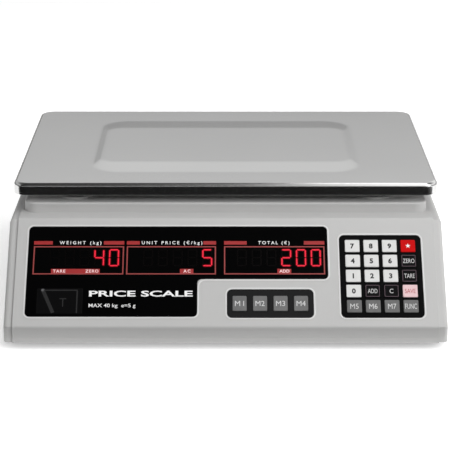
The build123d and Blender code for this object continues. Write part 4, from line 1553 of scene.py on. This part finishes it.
@dataclass
class FrontDisplay:
    """The operator's display: prints on the lens, its digits, and the level's window."""

    readings: tuple[Reading, ...] = (
        Reading("WEIGHT (kg)", -153.7, -81.35, -138.7, -97.7, -133.2, -99.7, -89.2, 5, "40"),
        Reading("UNIT PRICE (€/kg)", -79.2, -7.7, -68.9, -17.9, -67.3, -18.7, -14.7, 5, "5"),
        Reading("TOTAL (€)", -1.3, 79.2, 16.9, 62.8, 26.0, 51.3, 72.1, 6, "200"),
    )
    header: Pair = (72.25, 75.4)
    window: Pair = (45.7, 70.8)
    line: float = 1.0
    digit_t: float = 60.5
    ink_h: float = -0.19
    header_height: float = 3.0
    header_rise: float = 0.2
    header_bold: float = 0.012
    titles: tuple[Word, ...] = (
        Word("PRICE SCALE", -108.0, 29.0, 5.4, 82.0, 0.025, Align.LEFT, True),
        Word("MAX 40 kg  e=5 g", -108.0, 18.7, 3.3, 37.0, 0.006, Align.LEFT, True),
    )
    status_top: float = 50.6
    status_bars: tuple[Pair, ...] = ((-139.0, -100.2), (-36.4, -25.7), (41.2, 52.2))
    status_words: tuple[tuple[str, float, float], ...] = (
        ("TARE", -137.5, -127.6),
        ("ZERO", -111.6, -101.2),
        ("AC", -33.6, -27.9),
        ("ADD", 42.8, 50.8),
    )
    status_t: float = 48.7
    status_height: float = 2.8
    status_bold: float = 0.015
    label_rise: float = 0.04
    level_bars: tuple[tuple[float, float, float, float], ...] = (
        (-144.0, 31.3, -117.0, 32.3),
        (-117.9, 12.0, -116.9, 31.3),
        (-131.2, 24.0, -125.8, 24.8),
        (-128.9, 17.5, -128.1, 24.0),
    )
    slant_size: Pair = (2.8, 20.8)
    slant_lean: Pair = (9.0, 20.6)
    slant_middle: Pair = (-140.2, 21.8)
    glint: tuple[float, float, float, float] = (-145.9, 30.9, -143.2, 33.0)
    glint_corner: float = 0.9

    def build(self, panel: Face) -> None:
        """Builds the prints, words and digits.

        Args:
            panel: The front panel.
        """
        blocks = Print("lens_header_bars", Paints.INK_RED, self.ink_h)
        frames = Print("lens_window_frames", Paints.INK_FRAME, self.ink_h)
        words = Print("lens_words", Paints.INK_WHITE, self.ink_h)
        labels = Print("lens_status_words", Paints.INK_PALE, self.ink_h + self.label_rise)
        for reading in self.readings:
            blocks.bar(reading.left, self.header[0], reading.block_left, self.header[1])
            blocks.bar(reading.block_right, self.header[0], reading.right, self.header[1])
            frames.frame(reading.left, self.window[0], reading.right, self.window[1], self.line)
            middle = (reading.text_left + reading.text_right) / 2
            width = reading.text_right - reading.text_left
            t = sum(self.header) / 2 + self.header_rise
            words.word(
                Word(reading.title, middle, t, self.header_height, width, self.header_bold)
            )
        for left, right in self.status_bars:
            blocks.bar(left, self.window[0] + self.line, right, self.status_top)
        for text, left, right in self.status_words:
            middle = (left + right) / 2
            span = right - left
            labels.word(
                Word(text, middle, self.status_t, self.status_height, span, self.status_bold)
            )
        for title in self.titles:
            words.word(title)
        for ink in (blocks, frames, words, labels):
            ink.finish(panel, "scale_body", "lens_black")
        groups = [(reading.last_digit, reading.digits, reading.value) for reading in self.readings]
        Digits().build("front", panel, groups, self.digit_t, self.ink_h)
        self.level_frame(panel)

    def level_frame(self, panel: Face) -> None:
        """Builds the level's faint frame behind its window, and a painted glint, a highlight in the window.

        Args:
            panel: The front panel.
        """
        marks = Print("level_frame", Paints.INK_SHADOW, self.ink_h)
        for bar in self.level_bars:
            marks.bar(*bar)
        half_x, half_t = self.slant_size[0] / 2, self.slant_size[1] / 2
        marks.bar(-half_x, -half_t, half_x, half_t)
        BENCH.edit_all(marks.parts[-1])
        turn = -math.atan2(*self.slant_lean)
        bpy.ops.transform.rotate(value=turn, orient_axis="Z", center_override=(0.0, 0.0, 0.0))
        across, up = self.slant_middle
        bpy.ops.transform.translate(value=(across * MM, up * MM, 0.0))
        BENCH.clear()
        marks.finish(panel, "scale_body", "window_smoked")
        # Painted highlight: a small grey patch stands for a glint in the level's window.
        light = Print("level_glint", Paints.INK_GREY, self.ink_h)
        light.bar(*self.glint, self.glint_corner)
        light.finish(panel, "scale_body", "window_smoked")


@dataclass
class CustomerDisplay:
    """The display on the rear face, with the same three readings."""

    lefts: tuple[float, ...] = (-104.64, -35.49, 33.66)
    widths: tuple[float, ...] = (59.15, 59.15, 70.98)
    titles: tuple[str, ...] = ("WEIGHT (kg)", "UNIT PRICE (€/kg)", "TOTAL (€)")
    values: tuple[str, ...] = ("40", "5", "200")
    counts: tuple[int, ...] = (5, 5, 6)
    digit_t: float = 20.6
    digit_pitch: float = 11.83
    ink_h: float = 0.012
    frame_t: Pair = (10.6, 30.4)
    frame_margin: float = 1.5
    frame_line: float = 0.8
    title_t: float = 33.2
    title_height: float = 2.1
    title_share: float = 0.62

    def build(self, face: Face) -> None:
        """Builds the prints and digits.

        Args:
            face: The rear face.
        """
        frames = Print("rear_window_frames", Paints.INK_FRAME, self.ink_h)
        words = Print("rear_words", Paints.INK_WHITE, self.ink_h)
        groups = []
        rows = zip(self.lefts, self.widths, self.titles, self.values, self.counts)
        for left, width, title, value, count in rows:
            start, end = left - self.frame_margin, left + width + self.frame_margin
            frames.frame(start, self.frame_t[0], end, self.frame_t[1], self.frame_line)
            span = width * self.title_share
            words.word(Word(title, left + width / 2, self.title_t, self.title_height, span))
            groups.append((left + width - self.digit_pitch / 2, count, value))
        frames.finish(face, "scale_body", "lens_black")
        words.finish(face, "scale_body", "lens_black")
        digits = Digits(height=14.2, width=7.6, stroke=1.25, pitch=self.digit_pitch)
        digits.build("rear", face, groups, self.digit_t, self.ink_h)


# ---- Keys ---------------------------------------------------------------------------


@dataclass(frozen=True)
class KeyFace:
    """What is printed on one key."""

    key: str
    legend: str
    ink: Paints
    slot: str
    height: float = 5.2
    width: float | None = None
    bold: float = 0.05
    outlined: bool = False


def number_key(figure: str) -> KeyFace:
    """A white number key's print."""
    return KeyFace(figure, figure, Paints.INK_BLACK, "key_white", 4.7, None, 0.04)


def black_key(key: str, legend: str, width: float) -> KeyFace:
    """A black key's print, with its outline."""
    return KeyFace(key, legend, Paints.INK_SILVER, "key_black", 4.0, width, 0.0, True)


def grey_key(key: str, legend: str, width: float) -> KeyFace:
    """A grey key's print."""
    return KeyFace(key, legend, Paints.INK_SILVER, "key_grey", 4.7, width, 0.0)


@dataclass
class Keys:
    """The legends on the keypad and on the memory keys."""

    pitch: Pair = (14.87, 13.27)
    centre: Pair = (123.7, 44.2)
    key_size: Pair = (11.7, 10.8)
    memory_centre: Pair = (35.2, 20.1)
    memory_pitch: float = 16.17
    ink_h: float = 0.61
    star_radius: float = 2.1
    star_waist: float = 0.42
    ring_inset: float = 0.4
    ring_line: float = 0.3
    ring_corner: float = 0.7

    def rows(self) -> list[list[KeyFace]]:
        """The keypad's prints, row by row from the top."""
        return [
            [*map(number_key, "789"), KeyFace("star", "*", Paints.INK_WHITE, "key_red")],
            [*map(number_key, "456"), black_key("zero", "ZERO", 9.2)],
            [*map(number_key, "123"), black_key("tare", "TARE", 8.2)],
            [
                number_key("0"),
                black_key("add", "ADD", 7.6),
                black_key("clear", "C", 3.0),
                KeyFace("save", "SAVE", Paints.INK_DULL, "key_pink", 4.0, 8.4, 0.0),
            ],
            [
                *(grey_key(name, name.upper(), 6.6) for name in ("m5", "m6", "m7")),
                grey_key("func", "FUNC", 9.3),
            ],
        ]

    def star(self) -> Piece:
        """Draws a five-pointed star.

        Returns:
            The flat star at the origin, with its thickness.
        """
        piece = BENCH.disc("star", self.star_radius * MM, 10)
        spikes = [point.co.copy() for point in piece.data.vertices][::2]
        BENCH.edit(piece, Pick.POINTS)
        BENCH.pick(
            piece,
            Pick.POINTS,
            lambda middle, way: all((middle - spike).length > 1e-6 for spike in spikes),
        )
        inner = (self.star_waist, self.star_waist, 1.0)
        bpy.ops.transform.resize(value=inner, center_override=(0.0, 0.0, 0.0))
        BENCH.clear()
        BENCH.raise_sheet(piece, 0.03 * MM)
        return piece

    def print_key(self, panel: Face, face: KeyFace, x: float, t: float) -> None:
        """Prints one key.

        Args:
            panel: The front panel.
            face: What is printed.
            x: The key's middle along the panel.
            t: The key's middle up the panel.
        """
        ink = Print(f"legend_{face.key}", face.ink, self.ink_h)
        if face.legend == "*":
            star = self.star()
            star.data.transform(Matrix.Translation((x * MM, t * MM, ink.h * MM)))
            ink.parts.append(star)
        else:
            ink.word(Word(face.legend, x, t, face.height, face.width, face.bold))
        ink.finish(panel, f"key_{face.key}", face.slot)
        if face.outlined:
            ring = Print(f"outline_{face.key}", Paints.INK_MAUVE, self.ink_h)
            half_x, half_t = (size / 2 - self.ring_inset for size in self.key_size)
            low, high = (x - half_x, t - half_t), (x + half_x, t + half_t)
            ring.frame(*low, *high, self.ring_line, self.ring_corner)
            ring.finish(panel, f"key_{face.key}", face.slot)

    def build(self, panel: Face) -> None:
        """Prints every key.

        Args:
            panel: The front panel.
        """
        for row, faces in enumerate(self.rows()):
            for column, face in enumerate(faces):
                x = self.centre[0] + (column - 1.5) * self.pitch[0]
                t = self.centre[1] + (2 - row) * self.pitch[1]
                self.print_key(panel, face, x, t)
        for index in range(4):
            x = self.memory_centre[0] + (index - 1.5) * self.memory_pitch
            name = f"m{index + 1}"
            self.print_key(panel, grey_key(name, name.upper(), 7.2), x, self.memory_centre[1])


# ---- Small parts --------------------------------------------------------------------


@dataclass
class Feet:
    """Finger grips round the four screw-in feet."""

    radius: float = 12.1
    rib: float = 0.7
    low: float = 1.4
    high: float = 4.9
    ribs: int = 32
    softness: float = 0.15

    def grip(self, middle: Vector) -> Piece:
        """Makes a ribbed ring.

        Args:
            middle: The foot's middle on the floor.

        Returns:
            The ring.
        """
        height = (self.high - self.low) * MM
        centre = Vector((middle.x, middle.y, self.low * MM + height / 2))
        ring = BENCH.drum("foot_grip", centre, self.radius * MM, height, 2 * self.ribs)
        BENCH.edit(ring)
        step = math.pi / self.ribs

        def is_rib(face: Vector, way: Vector) -> bool:
            """Says if a side face is one of the ribs."""
            turn = math.atan2(face.y - centre.y, face.x - centre.x) % (2 * math.pi)
            return abs(way.z) < 0.1 and int(round(turn / step - 0.5)) % 2 == 0

        BENCH.pick(ring, Pick.FACES, is_rib)
        bpy.ops.mesh.extrude_faces_move(TRANSFORM_OT_shrink_fatten={"value": self.rib * MM})
        BENCH.clear()
        BENCH.modify(ring, "BEVEL", width=self.softness * MM, segments=2, limit_method="ANGLE")
        BENCH.smooth(ring)
        return ring

    def build(self) -> None:
        """Puts a grip on every foot."""
        for name in ("foot_front_left", "foot_front_right", "foot_rear_left", "foot_rear_right"):
            low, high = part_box(name)
            ring = self.grip((low + high) / 2)
            ring.name = f"{name}_grip"
            BENCH.put_away(ring, Paints.FOOT, name)


@dataclass
class BatteryDoor:
    """Grip ribs under the battery door."""

    ribs: int = 7
    start: float = 14.0
    width: float = 34.0
    thickness: float = 1.2
    pitch: float = 3.0
    height: float = 0.6
    sunk: float = 0.2
    softness: float = 0.35

    def build(self) -> None:
        """Builds the ribs near the door's front end."""
        low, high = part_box("battery_door")
        middle = (low + high) / 2
        start = low.y + self.start * MM
        half_x, half_y = self.width / 2 * MM, self.thickness / 2 * MM
        rib = BENCH.block(
            "door_rib",
            Vector((middle.x - half_x, start - half_y, low.z - self.height * MM)),
            Vector((middle.x + half_x, start + half_y, low.z + self.sunk * MM)),
        )
        BENCH.edit(rib, Pick.EDGES)
        BENCH.pick(rib, Pick.EDGES, lambda centre, way: centre.z < low.z - self.height * MM + 1e-6)
        bpy.ops.mesh.bevel(affect="EDGES", offset=self.softness * MM, segments=3)
        BENCH.clear()
        steps = [index * self.pitch * MM for index in range(self.ribs)]
        places = [Matrix.Translation((0.0, step, 0.0)) for step in steps]
        ribs = BENCH.set_out(rib, "battery_door_ribs", places)
        BENCH.smooth(ribs)
        BENCH.put_away(ribs, Paints.BASE, "battery_door")


@dataclass
class RockerMarks:
    """The on and off marks on the power rocker."""

    reach: float = 4.6
    size: float = 2.6
    line: float = 0.5
    ring_width: float = 2.2
    ring_line: float = 0.45
    ring_corner: float = 1.0
    ink_h: float = 0.02

    def spot(self, along: float) -> tuple[Vector, Vector]:
        """Finds the rocker's face.

        Args:
            along: How far from its middle along Y, in millimetres.

        Returns:
            The place on the face, and the way it looks.
        """
        low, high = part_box("power_switch_rocker")
        start = Vector((high.x + 0.01, (low.y + high.y) / 2 + along * MM, (low.z + high.z) / 2))
        rocker = frame["nodes"]["power_switch_rocker"]
        hit, place, way, _ = rocker.ray_cast(start, Vector((-1.0, 0.0, 0.0)))
        if not hit:
            raise ValueError("the rocker's face was not found")
        return place, way

    def build(self) -> None:
        """Puts a line and a ring on the rocker."""
        for name, along in (("rocker_on_mark", -self.reach), ("rocker_off_mark", self.reach)):
            place, way = self.spot(along)
            up = Vector((0.0, 0.0, 1.0))
            face = Face(place, up.cross(way).normalized(), up)
            mark = Print(name, Paints.INK_WHITE, self.ink_h)
            half_t = self.size / 2
            if name == "rocker_on_mark":
                mark.bar(-self.line / 2, -half_t, self.line / 2, half_t)
            else:
                low, high = (-self.ring_width / 2, -half_t), (self.ring_width / 2, half_t)
                mark.frame(*low, *high, self.ring_line, self.ring_corner)
            mark.finish(face, "rocker", "rocker_red")


@dataclass
class PackedParts:
    """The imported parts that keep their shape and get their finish."""

    def build(self) -> None:
        """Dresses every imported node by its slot."""
        for entry in frame["record"]["subparts"]:
            paint = SLOT_PAINTS[entry["material_slot"]]
            PAINTBOX.dress(frame["nodes"][entry["node"]], paint)
            log.info("%s: %s", entry["node"], paint.value.name)


# ---- Studio -------------------------------------------------------------------------


@dataclass(frozen=True)
class Lamp:
    """A soft rectangular light, seen in shiny parts only if it is mirrored."""

    name: str
    place: tuple[float, float, float]
    aim: tuple[float, float, float]
    size: Pair
    power: float
    mirrored: bool = False

    def hang(self) -> None:
        """Hangs the light, turned to what it points at."""
        lamp = bpy.data.lights.new(self.name, "AREA")
        lamp.shape = "RECTANGLE"
        lamp.size, lamp.size_y = self.size
        lamp.energy = self.power
        holder = bpy.data.objects.new(self.name, lamp)
        bpy.context.scene.collection.objects.link(holder)
        holder.location = self.place
        way = Vector(self.aim) - Vector(self.place)
        holder.rotation_euler = way.to_track_quat("-Z", "Y").to_euler()
        holder.visible_glossy = self.mirrored


@dataclass
class Studio:
    """A pale floor, a graded room, two cards for shiny parts to mirror, lights and the camera."""

    camera_place: tuple[float, float, float] = (0.0, -1.4152, 0.516)
    camera_pitch: float = 0.320
    lens: float = 135.73
    shift: float = 0.0041
    floor_size: float = 14.0
    floor_colour: float = 0.93
    floor_glow: float = 0.4
    flag_low: Pair = (-2.6, -2.6)
    flag_high: Pair = (0.55, -0.178)
    flag_height: float = 0.0006
    flag_level: float = 0.01
    mirror_size: Pair = (6.0, 2.6)
    mirror_place: tuple[float, float, float] = (0.0, -2.6, 0.5)
    mirror_up: tuple[float, float, float] = (0.0, 0.6, 0.8)
    mirror_reach: float = 0.6
    mirror_strength: float = 2.0
    mirror_levels: tuple[Pair, ...] = (
        (0.0, 0.015), (0.3, 0.022), (0.5, 0.06), (0.6, 0.12), (0.68, 0.6), (1.0, 0.9),
    )
    room_strength: float = 2.0
    sky: tuple[Pair, ...] = (
        (0.0, 0.25), (0.19, 0.34), (0.27, 0.61), (0.34, 0.79),
        (0.45, 0.9), (0.62, 0.8), (0.80, 0.16), (1.0, 0.08),
    )
    sides: tuple[Pair, ...] = (
        (0.0, 0.32), (0.385, 0.33), (0.44, 0.49), (0.56, 0.5), (0.615, 0.64), (1.0, 0.62),
    )
    lamps: tuple[Lamp, ...] = (
        Lamp("overhead light", (0.5, -0.8, 2.1), (0.0, 0.0, 0.06), (2.0, 2.0), 18.0),
        Lamp("right front light", (1.8, -1.3, 1.3), (0.0, 0.0, 0.06), (1.2, 1.2), 12.0),
        Lamp("front light", (0.6, -1.9, 1.2), (0.0, 0.0, 0.06), (1.2, 0.5), 11.0),
        Lamp("edge light", (0.36, 0.0, 1.25), (0.36, 0.0, 0.0), (0.5, 0.7), 2.8, True),
    )

    def floor(self) -> None:
        """Lays the floor, a wide sheet whose far edge curves up."""
        half = self.floor_size / 2
        ground = BENCH.sheet("studio_floor", (-half, -half), (half, half))
        BENCH.edit(ground, Pick.EDGES)
        BENCH.pick(ground, Pick.EDGES, lambda middle, way: middle.y > half - 0.01)
        bpy.ops.mesh.extrude_region_move(TRANSFORM_OT_translate={"value": (0.0, 0.4, 0.4)})
        bpy.ops.mesh.select_all(action="SELECT")
        bpy.ops.mesh.normals_make_consistent(inside=False)
        BENCH.clear()
        paint = bpy.data.materials.new("studio paper")
        paint.use_nodes = True
        shader = paint.node_tree.nodes["Principled BSDF"]
        shader.inputs["Base Color"].default_value = shade((self.floor_colour,) * 3, 1.0)
        shader.inputs["Roughness"].default_value = 0.9
        shader.inputs["Specular IOR Level"].default_value = 0.0
        shader.inputs["Emission Color"].default_value = (1.0, 1.0, 1.0, 1.0)
        shader.inputs["Emission Strength"].default_value = self.floor_glow
        ground.data.materials.append(paint)

    def card(self, name: str, low: Pair, high: Pair, z: float = 0.0) -> tuple[Piece, Wiring]:
        """Adds a card that the camera doesn't see and that casts no shadow.

        Args:
            name: The card's name.
            low: Its lowest X and Y.
            high: Its highest X and Y.
            z: Its height.

        Returns:
            The card, and its material's empty wiring.
        """
        card = BENCH.sheet(name, low, high, z)
        BENCH.edit_all(card)
        bpy.ops.mesh.subdivide(number_cuts=2)
        BENCH.clear()
        paint = bpy.data.materials.new(name.replace("_", " "))
        paint.use_nodes = True
        card.data.materials.append(paint)
        card.visible_camera = card.visible_shadow = False
        return card, Wiring(paint.node_tree)

    def flag(self) -> None:
        """Lays a dark card on the floor in front, which darkens the tray's rim and the skirt."""
        card, wiring = self.card("studio_flag", self.flag_low, self.flag_high, self.flag_height)
        matt = wiring.add("ShaderNodeBsdfDiffuse", Color=shade((self.flag_level,) * 3, 1.0))
        through = wiring.add("ShaderNodeBsdfTransparent")
        side = wiring.add("ShaderNodeNewGeometry")
        both = wiring.add("ShaderNodeMixShader")
        output = wiring.add("ShaderNodeOutputMaterial")
        wiring.join(side, "Backfacing", both, 0)
        wiring.join(matt, 0, both, 1)
        wiring.join(through, 0, both, 2)
        wiring.join(both, 0, output, "Surface")

    def mirror_card(self) -> None:
        """Hangs a card over the camera for shiny parts, dark at the left, bright at the right."""
        width, height = self.mirror_size
        card, wiring = self.card("studio_mirror_card", (-width / 2, 0.0), (width / 2, height))
        card.visible_diffuse = False
        right = Vector((1.0, 0.0, 0.0))
        Face(Vector(self.mirror_place), right, Vector(self.mirror_up)).lay(card)
        place = wiring.add("ShaderNodeTexCoord")
        parts = wiring.add("ShaderNodeSeparateXYZ")
        reach = self.mirror_reach
        across = wiring.add("ShaderNodeMapRange", From_Min=-reach, From_Max=reach)
        ramp = wiring.add("ShaderNodeValToRGB")
        shine = wiring.add("ShaderNodeEmission", Strength=self.mirror_strength)
        output = wiring.add("ShaderNodeOutputMaterial")
        self.set_stops(ramp, self.mirror_levels)
        wiring.join(place, "Object", parts, 0)
        wiring.join(parts, "X", across, "Value")
        wiring.join(across, 0, ramp, 0)
        wiring.join(ramp, 0, shine, "Color")
        wiring.join(shine, 0, output, "Surface")

    def world(self) -> None:
        """Sets a soft room, lighter half-way up and to the right, and darker overhead."""
        room = bpy.data.worlds.new("studio room")
        bpy.context.scene.world = room
        room.use_nodes = True
        wiring = Wiring(room.node_tree)
        place = wiring.add("ShaderNodeTexCoord")
        parts = wiring.add("ShaderNodeSeparateXYZ")
        ramp = wiring.add("ShaderNodeValToRGB")
        side = wiring.add("ShaderNodeValToRGB")
        back = wiring.add("ShaderNodeBackground")
        output = wiring.add("ShaderNodeOutputWorld")
        self.set_stops(ramp, self.sky)
        self.set_stops(side, self.sides)
        wiring.join(place, "Generated", parts, 0)
        wiring.join(parts, "Z", ramp, 0)
        across = wiring.math("MULTIPLY_ADD", (parts, "X"), 0.5, 0.5)
        wiring.join(across, 0, side, 0)
        strength = wiring.math("MULTIPLY", (side, 0), self.room_strength)
        wiring.join(ramp, 0, back, "Color")
        wiring.join(strength, 0, back, "Strength")
        wiring.join(back, 0, output, "Surface")

    def set_stops(self, ramp: bpy.types.Node, levels: Sequence[Pair]) -> None:
        """Fills a ramp with grey levels.

        Args:
            ramp: The ramp node.
            levels: Each stop's place and level, in order.
        """
        stops = ramp.color_ramp.elements
        while len(stops) < len(levels):
            stops.new(0.5)
        for index, (place, level) in enumerate(levels):
            stops[index].position = place
            stops[index].color = (level, level, level, 1.0)

    def camera(self) -> None:
        """Sets up the camera."""
        data = bpy.data.cameras.new("camera")
        data.lens = self.lens
        data.sensor_width = 36.0
        data.shift_x = self.shift
        data.clip_end = 100.0
        holder = bpy.data.objects.new("camera", data)
        bpy.context.scene.collection.objects.link(holder)
        holder.location = self.camera_place
        holder.rotation_euler = (math.pi / 2 - self.camera_pitch, 0.0, 0.0)
        bpy.context.scene.camera = holder

    def build(self) -> None:
        """Builds the whole studio."""
        self.floor()
        self.flag()
        self.mirror_card()
        self.world()
        for lamp in self.lamps:
            lamp.hang()
        self.camera()
        bpy.context.scene.view_settings.view_transform = "Standard"


# ---- Everything ---------------------------------------------------------------------


def main() -> None:
    """Builds the scale, then the studio."""
    logging.basicConfig(level=logging.INFO, format="%(name)s: %(message)s")
    panel = front_panel()
    rear = rear_panel()
    log.info("front panel at %s, up %s", tuple(panel.origin), tuple(panel.up))
    log.info("rear face at %s, up %s", tuple(rear.origin), tuple(rear.up))
    PackedParts().build()
    Housing().build(panel)
    WeighingTray().build()
    FrontDisplay().build(panel)
    CustomerDisplay().build(rear)
    Keys().build(panel)
    Feet().build()
    BatteryDoor().build()
    RockerMarks().build()
    Studio().build()


if __name__ == "__main__":
    main()
